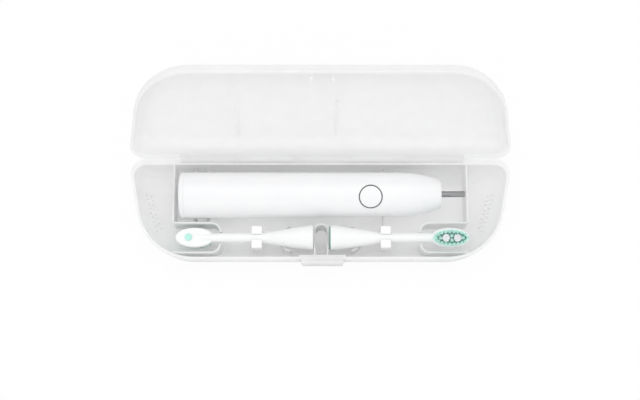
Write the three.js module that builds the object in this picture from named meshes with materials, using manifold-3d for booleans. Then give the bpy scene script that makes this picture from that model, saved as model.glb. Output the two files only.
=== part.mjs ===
// Electric toothbrush travel case with its handle and two brush heads. Millimetres, +Z up.
// The origin is the centre of the base's underside, +X runs along the case and +Y towards the hinge.
import * as THREE from 'three';
import { mergeGeometries, mergeVertices } from 'three/addons/utils/BufferGeometryUtils.js';
import Module from 'manifold-3d';

const wasm = await Module();
wasm.setup();

// Finishes
const caseRoughness = 0.45;
const handleRoughness = 0.3;
const steelRoughness = 0.28;

// Shared fits
const fit = 0.3;
const overrun = 1;
const weld = 0.004;
const quarter = Math.PI / 2;

// Case outline from above: straight rear edge, leaning sides, round front corners
const caseLength = 236.4;
const caseDepth = 63.6;
const sideLean = 0.18;
const rearCornerRadius = 9;
const frontCornerRadius = 36;
const leastCornerRadius = 1.5;
const rearPlaceShare = 0.512579;
const rearCornerSteps = 4;
const frontCornerSteps = 8;
const profileSteps = 6;

// Base shell
const baseHeightShare = 0.353774;
const floorThickness = 2.2;
const baseEndSweepShare = 0.097293;
const baseFrontRadiusShare = 0.220126;
const baseRearRadius = 13;
const rimWidth = 1.8;
const rearRimWidth = 3.7;

// Lid shell
const lidHeightShare = 0.227987;
const lidWallShare = 0.078616;
const lidThickness = 2;
const lidEndSweepShare = 0.029611;
const lidFrontRadius = 9;
const lidRearRadius = 9;
const lidRearRim = 2.5;
const lidRibShares = [-0.217851, 0.042301];
const lidRibStartShare = 0.157233;
const lidRibEndShare = 0.566038;
const lidRibHeightShare = 0.023585;
const lidRibThickness = 1.2;

// Hinge along the rear edge, with the lid's opening in radians
const lidOpening = 2.2515;
const hingeLeftShare = -0.368443;
const hingeRightShare = 0.376904;
const knuckleCount = 5;
const knuckleRadius = 2.4;
const hingePinRadius = 1;
const pinBoreRadius = 1.25;
const knuckleSides = 12;

// Walls inside the base
const wallThickness = 1;
const wallTopDrop = 0.6;
const bayWallPlaceShare = 0.385364;
const bayWallEndShare = 0.632075;
const pocketRearShare = 0.632075;
const pocketFrontShare = 0.924528;
const pocketTurnShare = 0.285533;
const mouthRearShare = 0.72327;
const mouthFrontShare = 0.836478;
const pocketSteps = 4;
const pocketWallDrop = 1;

// Divider channel between the two cones
const dividerLeft = -4;
const dividerRight = 4.9;
const dividerRearShare = 0.639937;
const dividerSteps = 6;

// Cradle ribs under the handle
const tailRibShares = [-0.332487, -0.298646];
const frontRibPlaceShare = 0.167513;
const ribThickness = 1.2;
const ribTopDropShare = 0.14151;
const cradleSides = 18;

// Round rests under the two cones
const restRadiusShare = 0.128931;
const restGaps = [5, 2.9];
const restDrop = 1;
const restThickness = 0.9;
const restOpening = 0.8;
const restSides = 20;

// Air holes: two rows at each end
const ventRadius = 0.6;
const ventSides = 6;
const ventOuterCount = 9;
const ventInnerCount = 8;
const ventShift = -0.55;
const ventBow = 0.6;
const ventOuterFromShares = [0.461929, 0.320755];
const ventOuterToShares = [0.431472, 0.679245];
const ventInnerFromShares = [0.450719, 0.323899];
const ventInnerToShares = [0.424281, 0.644654];

// Latch
const latchLeft = -11.9;
const latchRight = 14.4;
const latchReach = 2.7;
const latchHeight = 9;
const latchTopDrop = 0.5;
const latchSkin = 1.2;
const latchSkirtDepth = 0.4;
const latchTravel = 1.2;
const latchTaper = 0.6;
const recessDepth = 1.9;
const backingDepth = 2.9;
const backingWall = 1;
const catchPlaces = [-5.5, 7.5];
const catchWidth = 2.1;
const catchStem = 1.2;
const catchDrop = 5;
const catchBarb = 1.4;
const catchBarbHeight = 1.6;
const catchInset = 3.5;
const catchRoot = 7;
const leafThickness = 0.4;
const leafBow = 1.4;
const leafSteps = 8;

// Neck clips
const clipGaps = [0.5, -0.8];
const clipLength = 6.4;
const clipHalfWidthShare = 0.10849;
const clipMouthShare = 0.056604;
const clipTopDrop = 0.6;
const clipFootHalfWidthShare = 0.038522;
const clipFootHeight = 6;
const clipSides = 14;

// Handle lying in its bay
const tailRoom = 3.4;
const noseRoom = 0.6;
const handleDepthPlaceShare = 0.355346;
const handleSinkShare = 0.062893;
const handleRoll = 0.33;
const handleTurn = 0.0058;
const tailRadiusShare = 0.230346;
const waistRadiusShare = 0.216981;
const noseRadiusShare = 0.13522;
const shoulderStartShare = 0.787692;
const shoulderSteps = 7;
const shoulderPower = 3;
const housingWall = 1.6;
const housingSides = 28;

// Handle tail
const tailCapLength = 3;
const tailRound = 2;
const tailRoundSteps = 3;
const capPlugLength = 5;
const sealRoom = 0.45;
const tailSealSection = 0.7;
const tailSealSides = 18;
const tailSealSteps = 6;

// Power button
const buttonPlaceShare = 0.728395;
const buttonRadiusShare = 0.106132;
const ringWidth = 0.6;
const ringLift = 0.15;
const buttonSides = 24;
const switchRoom = 0.8;
const ringRoot = 0.1;
const ringStep = 0.9;

// Pieces inside the handle
const chassisStartShare = 0.098462;
const chassisEndShare = 0.784615;
const chassisRadiusShare = 0.133648;
const chassisWall = 1.3;
const chassisPlate = 1.6;
const plateRoom = 0.5;
const chassisSides = 12;
const boardThickness = 1.6;
const boardWidthShare = 0.245283;
const boardInset = 2;
const batteryLengthShare = 0.406154;
const batteryStartShare = 0.184615;
const batteryCap = 1.2;
const batteryCapRadius = 2.4;
const switchSize = 6;
const switchBody = 1.8;
const switchStem = 1.6;
const switchHeight = 2.7;
const motorRadiusShare = 0.147799;
const motorLengthShare = 0.135385;
const motorBoss = 3.2;
const motorBossLength = 2;
const plugWall = 1;
const coilWidth = 3.2;
const coilLength = 5.5;
const coreRoom = 1;
const coreFlange = 2.2;
const roundSides = 16;

// Drive shaft
const shaftRadiusShare = 0.029874;
const shaftReach = 15.2;
const shaftFlatDepth = 0.5;
const shaftFlatLength = 9;
const sealWidth = 1;
const sealLength = 3;
const shaftGap = 0.35;

// Brush heads, measured from the wide end of the cone
const headDepthPlaceShare = 0.775157;
const headSinkShare = 0.062893;
const leftHeadPlace = -4.5;
const rightHeadPlace = 6.9;
const rightHeadRoll = 0.2;
const coneRingLength = 1;
const coneRadiusShare = 0.125786;
const coneRingBoreShare = 0.081761;
const coneShoulderShare = 0.067682;
const coneShoulderRadiusShare = 0.089622;
const coneWaistShare = 0.101523;
const coneWaistRadiusShare = 0.069183;
const neckStartShare = 0.131134;
const neckRadiusShare = 0.050315;
const neckEndShare = 0.270728;
const neckEndRadiusShare = 0.044025;
const neckTipShare = 0.7;
const stemSides = 18;
const headCentreShare = 0.309645;
const headHalfLengthShare = 0.050338;
const headHalfWidthShare = 0.097484;
const headThickness = 4;
const headSides = 24;
const socketBoreShare = 0.055818;
const socketDepthShare = 0.093063;
const socketGap = 0.35;
const insertBoreShare = 0.033805;
const insertStart = 4;
const dotRadius = 2.3;
const dotThickness = 0.5;
const dotOffset = 3.7;

// Bristles
const fieldHalfLengthShare = 0.045262;
const fieldHalfWidthShare = 0.081761;
const fieldPitch = 1.08;
const strandRadius = 0.34;
const strandLength = 8;
const strandSides = 3;
const backingThickness = 0.8;
const whiteTuftPlaces = [-3.5, 3.5];
const whiteTuftRadius = 2.3;
const whiteTuftPitch = 0.95;
const whiteTuftLift = 0.4;
const whiteBacking = 0.6;

// Case, from its length and depth
const baseHeight = caseDepth * baseHeightShare;
const baseFrontRadius = caseDepth * baseFrontRadiusShare;
const lidHeight = caseDepth * lidHeightShare;
const lidWall = caseDepth * lidWallShare;
const lidRibStart = caseDepth * lidRibStartShare;
const lidRibEnd = caseDepth * lidRibEndShare;
const lidRibHeight = caseDepth * lidRibHeightShare;
const baseEndSweep = caseLength * baseEndSweepShare;
const lidEndSweep = caseLength * lidEndSweepShare;
const lidRibPlaces = lidRibShares.map((share) => caseLength * share);
const hingeLeft = caseLength * hingeLeftShare;
const hingeRight = caseLength * hingeRightShare;
const bayWallPlace = caseLength * bayWallPlaceShare;
const pocketTurn = caseLength * pocketTurnShare;
const frontRibPlace = caseLength * frontRibPlaceShare;
const tailRibPlaces = tailRibShares.map((share) => caseLength * share);
const bayWallEnd = caseDepth * bayWallEndShare;
const pocketRear = caseDepth * pocketRearShare;
const pocketFront = caseDepth * pocketFrontShare;
const mouthRear = caseDepth * mouthRearShare;
const mouthFront = caseDepth * mouthFrontShare;
const dividerRear = caseDepth * dividerRearShare;
const ribTopDrop = caseDepth * ribTopDropShare;
const restRadius = caseDepth * restRadiusShare;
const rimZ = baseHeight;
const rearY = caseDepth * rearPlaceShare;
const flush = { end: 0, front: 0, rear: 0 };
const baseRim = { end: rimWidth, front: rimWidth, rear: rearRimWidth };
const lidRim = { end: rimWidth, front: rimWidth, rear: lidRearRim };
const wallTop = rimZ - wallTopDrop;
const latchFace = caseDepth + latchReach;

// Handle, from the bay that it lies in
const handleDepthPlace = caseDepth * handleDepthPlaceShare;
const handleSink = caseDepth * handleSinkShare;
const tailRadius = caseDepth * tailRadiusShare;
const buttonRadius = caseDepth * buttonRadiusShare;
const waistRadius = caseDepth * waistRadiusShare;
const noseRadius = caseDepth * noseRadiusShare;
const bayInside = bayWallPlace - wallThickness / 2;
const handleLeft = tailRoom - bayInside;
const handleLength = bayInside - noseRoom - shaftReach - handleLeft;
const handleZ = rimZ - handleSink;
const shoulderStart = handleLength * shoulderStartShare;
const buttonPlace = handleLength * buttonPlaceShare;

// Pieces inside the handle, from its length and its inner side
const chassisStart = handleLength * chassisStartShare;
const chassisEnd = handleLength * chassisEndShare;
const batteryStart = handleLength * batteryStartShare;
const batteryLength = handleLength * batteryLengthShare;
const motorLength = handleLength * motorLengthShare;
const chassisRadius = caseDepth * chassisRadiusShare;
const boardWidth = caseDepth * boardWidthShare;
const motorRadius = caseDepth * motorRadiusShare;
const shaftRadius = caseDepth * shaftRadiusShare;
const waistInside = waistRadius - housingWall;
const chassisDrop = waistInside - chassisRadius - fit;
const chassisPlateRadius = waistInside - plateRoom;
const batteryRadius = chassisRadius - chassisWall - fit;
const ringReach = buttonRadius + ringWidth - ringLift;
const ringUnderside = Math.sqrt(handleRadius(buttonPlace) ** 2 - ringReach ** 2) - ringRoot;
const buttonUnderside = ringUnderside - ringStep;
const boardPlace = buttonUnderside - switchRoom - switchHeight - boardThickness;
const capPlugRadius = tailRadius - housingWall - sealRoom - fit - tailSealSection * 2;
const coilOuter = capPlugRadius - plugWall - fit;
const coilInner = coilOuter - coilWidth;
const corePost = coilInner - fit * 2;

// Brush heads, from the length and depth of the case
const coneShoulder = caseLength * coneShoulderShare;
const coneWaist = caseLength * coneWaistShare;
const neckStart = caseLength * neckStartShare;
const neckEnd = caseLength * neckEndShare;
const headCentre = caseLength * headCentreShare;
const headHalfLength = caseLength * headHalfLengthShare;
const socketDepth = caseLength * socketDepthShare;
const fieldHalfLength = caseLength * fieldHalfLengthShare;
const headDepthPlace = caseDepth * headDepthPlaceShare;
const headSink = caseDepth * headSinkShare;
const coneRadius = caseDepth * coneRadiusShare;
const coneRingBore = caseDepth * coneRingBoreShare;
const coneShoulderRadius = caseDepth * coneShoulderRadiusShare;
const coneWaistRadius = caseDepth * coneWaistRadiusShare;
const neckRadius = caseDepth * neckRadiusShare;
const neckEndRadius = caseDepth * neckEndRadiusShare;
const headHalfWidth = caseDepth * headHalfWidthShare;
const socketBore = caseDepth * socketBoreShare;
const fieldHalfWidth = caseDepth * fieldHalfWidthShare;
const insertRadius = socketBore - socketGap;
const insertBore = caseDepth * insertBoreShare;
const restAlong = restGaps.map((gap) => restRadius + gap);
const restPlaces = [leftHeadPlace - restAlong[0], rightHeadPlace + restAlong[1]];
const headZ = rimZ - headSink;

// Neck clips, from the necks that they hold
const clipHalfWidth = caseDepth * clipHalfWidthShare;
const clipMouth = caseDepth * clipMouthShare;
const clipFootHalfWidth = caseDepth * clipFootHalfWidthShare;
const clipAlong = clipGaps.map((gap) => neckStart + gap + clipLength / 2);
const clipPlaces = [leftHeadPlace - clipAlong[0], rightHeadPlace + clipAlong[1]];
const clipTop = rimZ - clipTopDrop;

// A point of the plan: x along the case, and its distance in front of the hinge
function at(x, ahead) {
  return new THREE.Vector2(x, rearY - ahead);
}

// A closed manifold solid from a geometry
function solid(geometry) {
  const bare = geometry.index ? geometry.toNonIndexed() : geometry.clone();
  bare.deleteAttribute('normal');
  bare.deleteAttribute('uv');
  const merged = mergeVertices(bare);
  const triVerts = [];
  for (let i = 0; i < merged.index.count; i += 3) {
    const [a, b, c] = [0, 1, 2].map((k) => merged.index.getX(i + k));
    if (a !== b && b !== c && c !== a) triVerts.push(a, b, c);
  }
  const mesh = new wasm.Mesh({
    numProp: 3,
    vertProperties: new Float32Array(merged.attributes.position.array),
    triVerts: new Uint32Array(triVerts),
  });
  const made = new wasm.Manifold(mesh);
  if (made.volume() > 0) return made;
  mesh.triVerts.reverse();
  return new wasm.Manifold(mesh);
}

function join(pieces) {
  return pieces.reduce((whole, piece) => whole.add(piece));
}

function cut(whole, pieces) {
  return pieces.reduce((left, piece) => left.subtract(piece), whole);
}

// A box between two values of each of x, y and z
function cuboid([x0, x1], [y0, y1], [z0, z1]) {
  const box = new THREE.BoxGeometry(x1 - x0, y1 - y0, z1 - z0);
  box.translate((x0 + x1) / 2, (y0 + y1) / 2, (z0 + z1) / 2);
  return solid(box);
}

// A box placed by its distances in front of the hinge
function block(spread, [near, far], heights) {
  return cuboid(spread, [rearY - far, rearY - near], heights);
}

// A prism on a plan outline
function prism(points, bottom, top) {
  const shape = new THREE.Shape(points);
  const body = new THREE.ExtrudeGeometry(shape, { depth: top - bottom, bevelEnabled: false });
  body.translate(0, 0, bottom);
  return solid(body);
}

// A wall of one thickness that stands on a line of the plan
function wallAlong(line, thickness, bottom, top) {
  const sides = [[], []];
  line.forEach((point, i) => {
    const before = line[Math.max(i - 1, 0)];
    const after = line[Math.min(i + 1, line.length - 1)];
    const along = after.clone().sub(before).normalize();
    const out = new THREE.Vector2(along.y, -along.x).multiplyScalar(thickness / 2);
    sides[0].push(point.clone().add(out));
    sides[1].unshift(point.clone().sub(out));
  });
  return prism([...sides[0], ...sides[1]], bottom, top);
}

// Points of an arc in the plan
function arc(centre, radius, from, to, steps) {
  const points = [];
  for (let i = 0; i <= steps; i += 1) {
    const angle = from + ((to - from) * i) / steps;
    const ray = new THREE.Vector2(Math.cos(angle), Math.sin(angle));
    points.push(centre.clone().add(ray.multiplyScalar(radius)));
  }
  return points;
}

// A body of revolution about the X axis from pairs of place and radius
function turned(pairs, sides) {
  const profile = pairs.map(([place, radius]) => new THREE.Vector2(radius, place));
  const body = new THREE.LatheGeometry(profile, sides);
  body.rotateZ(-quarter);
  return solid(body);
}

function rod(from, to, radius, sides) {
  return turned([[from, 0], [from, radius], [to, radius], [to, 0]], sides);
}

function tube(from, to, outer, inner, sides) {
  return turned([[from, inner], [from, outer], [to, outer], [to, inner], [from, inner]], sides);
}

// An upright round post
function post(x, y, radius, bottom, top, sides) {
  const body = new THREE.CylinderGeometry(radius, radius, top - bottom, sides);
  body.rotateX(quarter);
  body.translate(x, y, (bottom + top) / 2);
  return solid(body);
}

// Case shells

// Corner points of the plan with each side drawn in by its own inset, then rounded
function caseOutline(end, front, rear) {
  const centreX = caseLength / 2 - rearCornerRadius;
  const reach = (ahead) => centreX
    + (rearCornerRadius - end - Math.sin(sideLean) * (ahead - rearCornerRadius)) / Math.cos(sideLean);
  const rearLine = rear;
  const frontLine = caseDepth - front;
  const rearRadius = Math.max(rearCornerRadius - Math.min(end, rear), leastCornerRadius);
  const frontRadius = Math.max(frontCornerRadius - (end + front) / 2, leastCornerRadius);
  const right = [];
  const frontFrom = -quarter;
  const rearSpan = Math.tan((quarter + sideLean) / 2) * rearRadius;
  const frontSpan = Math.tan((quarter - sideLean) / 2) * frontRadius;
  const frontCentre = at(reach(frontLine) - frontSpan, frontLine - frontRadius);
  const rearCentre = at(reach(rearLine) - rearSpan, rearLine + rearRadius);
  right.push(...arc(frontCentre, frontRadius, frontFrom, -sideLean, frontCornerSteps));
  right.push(...arc(rearCentre, rearRadius, -sideLean, quarter, rearCornerSteps));
  const left = right.map((point) => new THREE.Vector2(-point.x, point.y)).reverse();
  return [...right, ...left];
}

// How far a rounded edge has come in at a depth below the rim
function roundedInset(depth, height, radius) {
  const past = Math.max(depth - (height - radius), 0) / radius;
  return radius * (1 - Math.sqrt(Math.max(1 - past * past, 0)));
}

// A bowl below an upright wall, drawn in by its rim and with its mouth at a height above it
function bowl(height, rim, endSweep, frontRadius, rearRadius, mouth) {
  const levels = [];
  for (let i = 0; i <= profileSteps; i += 1) {
    const turn = (quarter * i) / profileSteps;
    const depth = height * Math.sin(turn);
    const outline = caseOutline(
      rim.end + endSweep * (1 - Math.cos(turn)),
      rim.front + roundedInset(depth, height, frontRadius),
      rim.rear + roundedInset(depth, height, rearRadius),
    );
    levels.push({ outline, z: -depth });
  }
  if (mouth) levels.unshift({ outline: levels[0].outline, z: mouth });
  return loft(levels);
}

// A closed solid through outlines of equal count, each with its height
function loft(levels) {
  const count = levels[0].outline.length;
  const positions = [];
  levels.forEach(({ outline, z }) => outline.forEach((point) => positions.push(point.x, point.y, z)));
  const index = [];
  for (let level = 0; level + 1 < levels.length; level += 1) {
    for (let i = 0; i < count; i += 1) {
      const next = (i + 1) % count;
      const [a, b] = [level * count + i, level * count + next];
      index.push(a, a + count, b, b, a + count, b + count);
    }
  }
  const last = (levels.length - 1) * count;
  for (let i = 1; i + 1 < count; i += 1) {
    index.push(0, i, i + 1);
    index.push(last, last + i + 1, last + i);
  }
  const body = new THREE.BufferGeometry();
  body.setAttribute('position', new THREE.Float32BufferAttribute(positions, 3));
  body.setIndex(index);
  return solid(body);
}

// Places of the knuckles along the hinge, widened or narrowed by a gap
function knuckleSpans(odd, gap) {
  const step = (hingeRight - hingeLeft) / knuckleCount;
  const spans = [];
  for (let i = odd ? 1 : 0; i < knuckleCount; i += 2) {
    spans.push([hingeLeft + step * i - gap, hingeLeft + step * (i + 1) + gap]);
  }
  return spans;
}

function alongHinge([from, to], radius) {
  return rod(from, to, radius, knuckleSides).translate([0, rearY, rimZ]);
}

function knuckles(odd) {
  return knuckleSpans(odd, -fit / 2).map((span) => alongHinge(span, knuckleRadius));
}

function knuckleNotches(odd) {
  return knuckleSpans(odd, fit / 2).map((span) => alongHinge(span, knuckleRadius + fit));
}

function pinBore() {
  return alongHinge([hingeLeft + overrun, hingeRight + overrun], pinBoreRadius);
}

// The wall round one head pocket, on the side of the given sign
function pocketWalls(side) {
  const rearRadius = mouthRear - pocketRear;
  const frontRadius = pocketFront - mouthFront;
  const rearTurn = arc(at(pocketTurn, mouthRear), rearRadius, quarter, Math.PI, pocketSteps);
  const frontTurn = arc(at(pocketTurn, mouthFront), frontRadius, -quarter, -Math.PI, pocketSteps);
  const rearLine = [at(bayWallPlace, pocketRear), ...rearTurn];
  const frontLine = [at(bayWallPlace, pocketFront), ...frontTurn];
  return [rearLine, frontLine].map((line) => {
    const placed = line.map((point) => new THREE.Vector2(side * point.x, point.y));
    if (side < 0) placed.reverse();
    return wallAlong(placed, wallThickness, 0, wallTop - pocketWallDrop);
  });
}

function bayWall(side) {
  const line = [at(side * bayWallPlace, 0), at(side * bayWallPlace, bayWallEnd)];
  return wallAlong(line, wallThickness, 0, wallTop);
}

// The U-shaped channel, open towards the front wall
function dividerWall() {
  const radius = (dividerRight - dividerLeft - wallThickness) / 2;
  const middle = (dividerLeft + dividerRight) / 2;
  const turn = arc(at(middle, dividerRear + wallThickness / 2 + radius), radius, 0, Math.PI, dividerSteps);
  const line = [at(middle + radius, caseDepth), ...turn, at(middle - radius, caseDepth)];
  return wallAlong(line, wallThickness, 0, wallTop);
}

// A rib across the bay with its top cut round to the handle
function cradleRib(x, end) {
  const rib = block([x - ribThickness / 2, x + ribThickness / 2], [0, end], [0, rimZ - ribTopDrop]);
  const radius = handleRadius(x - handleLeft) + fit;
  const seat = rod(x - ribThickness, x + ribThickness, radius, cradleSides);
  const drift = Math.sin(handleTurn) * (x - handleLeft);
  const across = rearY - handleDepthPlace + drift * Math.cos(handleRoll);
  return rib.subtract(seat.translate([0, across, handleZ + drift * Math.sin(handleRoll)]));
}

// A half round wall under a cone, cut away where the cone lies in it
function coneRest(x) {
  const y = rearY - headDepthPlace;
  const top = headZ - restDrop;
  const outer = post(x, y, restRadius, 0, top, restSides);
  const inner = post(x, y, restRadius - restThickness, 0, top + overrun, restSides);
  const side = x < 0 ? -1 : 1;
  const place = side < 0 ? leftHeadPlace : rightHeadPlace;
  const room = stemSide().map(([along, radius]) => [place + side * along, radius + fit]);
  const last = room[room.length - 1][0];
  const cone = turned([[room[0][0], 0], ...room, [last, 0]], stemSides).translate([0, y, headZ]);
  const ends = [x + side * restOpening, x - side * (restRadius + overrun)].sort((a, b) => a - b);
  const half = cuboid(ends, [y - restRadius - overrun, y + restRadius + overrun], [-overrun, top + overrun]);
  return cut(outer, [inner, cone, half]);
}

function ventRow(fromShares, toShares, count, side) {
  const holes = [];
  for (let i = 0; i < count; i += 1) {
    const share = i / (count - 1);
    const straight = caseLength * THREE.MathUtils.lerp(fromShares[0], toShares[0], share);
    const x = straight + ventBow * Math.sin(Math.PI * share);
    const ahead = caseDepth * THREE.MathUtils.lerp(fromShares[1], toShares[1], share);
    holes.push(post(side * x + ventShift, rearY - ahead, ventRadius, -overrun, rimZ, ventSides));
  }
  return holes;
}

function vents() {
  return [1, -1].flatMap((side) => [
    ...ventRow(ventOuterFromShares, ventOuterToShares, ventOuterCount, side),
    ...ventRow(ventInnerFromShares, ventInnerToShares, ventInnerCount, side),
  ]);
}

// Where the latch sits: a recess in the front wall with a window for each catch
function latchRecess() {
  const spread = [latchLeft - fit, latchRight + fit];
  const floor = rimZ - latchTopDrop - latchHeight - fit;
  const recess = block(spread, [caseDepth - recessDepth, caseDepth + overrun], [floor, rimZ + overrun]);
  const windows = catchPlaces.map((x) => block(
    [x - catchWidth / 2 - fit, x + catchWidth / 2 + fit],
    [caseDepth - backingDepth - overrun, caseDepth],
    [rimZ - catchDrop - fit, rimZ - catchDrop + catchBarbHeight + fit],
  ));
  return [recess, ...windows];
}

// The front wall is thicker behind the latch
function latchBacking() {
  const spread = [latchLeft - fit - backingWall, latchRight + fit + backingWall];
  const floor = rimZ - latchTopDrop - latchHeight - fit - backingWall;
  return block(spread, [caseDepth - backingDepth, caseDepth], [floor, rimZ]);
}

function baseShell() {
  const whole = bowl(baseHeight, flush, baseEndSweep, baseFrontRadius, baseRearRadius, 0);
  const outer = whole.translate([0, 0, rimZ]);
  const innerHeight = baseHeight - floorThickness;
  const frontRadius = baseFrontRadius - floorThickness;
  const rearRadius = baseRearRadius - floorThickness;
  const inner = bowl(innerHeight, baseRim, baseEndSweep, frontRadius, rearRadius, overrun);
  const hollow = inner.translate([0, 0, rimZ]);
  const fittings = join([
    latchBacking(),
    bayWall(1),
    bayWall(-1),
    ...pocketWalls(1),
    ...pocketWalls(-1),
    dividerWall(),
    ...tailRibPlaces.map((x) => cradleRib(x, pocketRear)),
    cradleRib(frontRibPlace, headDepthPlace - clipHalfWidth - fit),
    ...restPlaces.map(coneRest),
  ]).intersect(outer);
  const shell = outer.subtract(hollow).add(fittings);
  const open = cut(shell, [...knuckleNotches(true), ...latchRecess(), ...vents()]);
  return join([open, ...knuckles(false)]).subtract(pinBore());
}

// A thin rib hanging inside the lid
function lidRib(x) {
  const top = rimZ + lidHeight;
  return block(
    [x - lidRibThickness / 2, x + lidRibThickness / 2],
    [lidRibStart, lidRibEnd],
    [top - lidThickness - lidRibHeight, top - lidThickness / 2],
  );
}

// A hook that drops inside the front wall, with its barb in the window
function lidCatch(x) {
  const spread = [x - catchWidth / 2, x + catchWidth / 2];
  const inside = caseDepth - catchInset - catchStem;
  const root = block(spread, [inside, caseDepth - rimWidth / 2], [rimZ + fit * 2, rimZ + catchRoot]);
  const stem = block(spread, [inside, inside + catchStem], [rimZ - catchDrop, rimZ + catchRoot]);
  const barb = block(
    spread,
    [inside, inside + catchStem + catchBarb],
    [rimZ - catchDrop, rimZ - catchDrop + catchBarbHeight],
  );
  return join([root, stem, barb]);
}

// The lid is made closed and then swung open about the hinge
function lidShell() {
  const height = lidHeight - lidWall;
  const outer = bowl(height, flush, lidEndSweep, lidFrontRadius, lidRearRadius, lidWall - fit);
  const inner = bowl(
    height - lidThickness,
    lidRim,
    lidEndSweep,
    lidFrontRadius - lidThickness,
    lidRearRadius - lidThickness,
    lidWall + overrun,
  );
  const shell = outer.subtract(inner).mirror([0, 0, 1]).translate([0, 0, rimZ + lidWall]);
  const fitted = join([shell, ...lidRibPlaces.map(lidRib), ...catchPlaces.map(lidCatch)]);
  const open = cut(fitted, knuckleNotches(false));
  return join([open, ...knuckles(true)]).subtract(pinBore());
}

function hingePin() {
  return alongHinge([hingeLeft + overrun + fit, hingeRight - fit], hingePinRadius);
}

// Latch

// A hollow cap with two bosses that push the catches out of their windows
function latchButton() {
  const top = rimZ - latchTopDrop;
  const back = caseDepth - latchSkirtDepth;
  const outline = [
    at(latchLeft, back),
    at(latchLeft, caseDepth),
    at(latchLeft + latchTaper, latchFace),
    at(latchRight - latchTaper, latchFace),
    at(latchRight, caseDepth),
    at(latchRight, back),
  ];
  const body = prism(outline.reverse(), top - latchHeight, top);
  const hollow = block(
    [latchLeft + latchTaper + latchSkin, latchRight - latchTaper - latchSkin],
    [back - overrun, latchFace - latchSkin],
    [top - latchHeight + latchSkin, top - latchSkin],
  );
  const tip = caseDepth - catchInset + catchBarb + latchTravel + fit;
  const bosses = catchPlaces.map((x) => block(
    [x - catchWidth / 2, x + catchWidth / 2],
    [tip, latchFace - latchSkin / 2],
    [rimZ - catchDrop, rimZ - catchDrop + catchBarbHeight],
  ));
  return join([body.subtract(hollow), ...bosses]);
}

// A bowed leaf on the back of the recess, below the bosses
function latchSpring() {
  const top = rimZ - catchDrop - fit;
  const bottom = rimZ - latchTopDrop - latchHeight + latchSkin + fit;
  const from = latchLeft + latchTaper + latchSkin + overrun;
  const to = latchRight - latchTaper - latchSkin - overrun;
  const back = caseDepth - recessDepth + fit + leafThickness / 2;
  const line = [];
  for (let i = 0; i <= leafSteps; i += 1) {
    const share = i / leafSteps;
    line.push(at(THREE.MathUtils.lerp(from, to, share), back + leafBow * Math.sin(Math.PI * share)));
  }
  return wallAlong(line, leafThickness, bottom, top);
}

// Neck clips

// A block on a narrower foot, with a round seat for the neck and a mouth narrower than it
function neckClip(x) {
  const spread = [x - clipLength / 2, x + clipLength / 2];
  const around = (half) => [headDepthPlace - half, headDepthPlace + half];
  const footTop = floorThickness + clipFootHeight;
  const foot = block(spread, around(clipFootHalfWidth), [floorThickness + fit, footTop + overrun]);
  const body = block(spread, around(clipHalfWidth), [footTop, clipTop]);
  const seat = rod(x - clipLength, x + clipLength, neckRadius + fit, clipSides);
  const way = block([x - clipLength, x + clipLength], around(clipMouth / 2), [headZ, clipTop + overrun]);
  return cut(foot.add(body), [seat.translate([0, rearY - headDepthPlace, headZ]), way]);
}

// Handle, along +X from its tail, with its button up

// The outside radius at a distance from the tail
function handleRadius(place) {
  const even = tailRadius + ((waistRadius - tailRadius) * place) / shoulderStart;
  if (place <= shoulderStart) return even;
  const along = (place - shoulderStart) / (handleLength - shoulderStart);
  return waistRadius - (waistRadius - noseRadius) * along ** shoulderPower;
}

// The handle's side from one place to the nose, drawn in by a skin
function handleSide(from, skin) {
  const pairs = [[from, handleRadius(from) - skin]];
  const end = handleLength - skin;
  for (let i = 0; i <= shoulderSteps; i += 1) {
    const place = THREE.MathUtils.lerp(shoulderStart, end, i / shoulderSteps);
    pairs.push([place, handleRadius(place) - skin]);
  }
  return pairs;
}

function handleSolid(from, skin) {
  const side = handleSide(from, skin);
  const end = side[side.length - 1][0];
  return turned([[from, 0], ...side, [end, 0]], housingSides);
}

function handleHousing() {
  const from = tailCapLength + fit / 2;
  const outer = handleSolid(from, 0);
  const inner = handleSolid(from - overrun, housingWall);
  const hole = post(buttonPlace, 0, buttonRadius + ringWidth, 0, tailRadius, buttonSides);
  const shaftHole = rod(0, handleLength + overrun, shaftRadius + shaftGap + sealWidth + fit, roundSides);
  return cut(outer, [inner, hole, shaftHole]);
}

function tailCap() {
  const pairs = [[0, 0]];
  for (let i = 0; i <= tailRoundSteps; i += 1) {
    const turn = quarter * (1 - i / tailRoundSteps);
    pairs.push([tailRound * (1 - Math.sin(turn)), tailRadius - tailRound * (1 - Math.cos(turn))]);
  }
  const end = tailCapLength + capPlugLength;
  pairs.push([tailCapLength, tailRadius], [tailCapLength, capPlugRadius], [end, capPlugRadius], [end, 0]);
  const bore = rod(tailCapLength, end + overrun, coilOuter + fit, roundSides);
  return turned(pairs, housingSides).subtract(bore);
}

// A rubber ring round the plug
function tailSeal() {
  const place = tailCapLength + capPlugLength / 2;
  const middle = new THREE.Vector2(place, capPlugRadius + fit + tailSealSection);
  const pairs = arc(middle, tailSealSection, 0, 2 * Math.PI, tailSealSteps).map((p) => [p.x, p.y]);
  pairs[pairs.length - 1] = pairs[0];
  return turned(pairs, tailSealSides);
}

function powerButton() {
  const stem = post(buttonPlace, 0, buttonRadius - ringLift, buttonUnderside, tailRadius, buttonSides);
  return stem.intersect(handleSolid(0, 0));
}

function buttonRing() {
  const outer = post(buttonPlace, 0, ringReach, ringUnderside, tailRadius, buttonSides);
  const inner = post(buttonPlace, 0, buttonRadius, 0, tailRadius + overrun, buttonSides);
  return outer.subtract(inner).intersect(handleSolid(0, 0));
}

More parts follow.
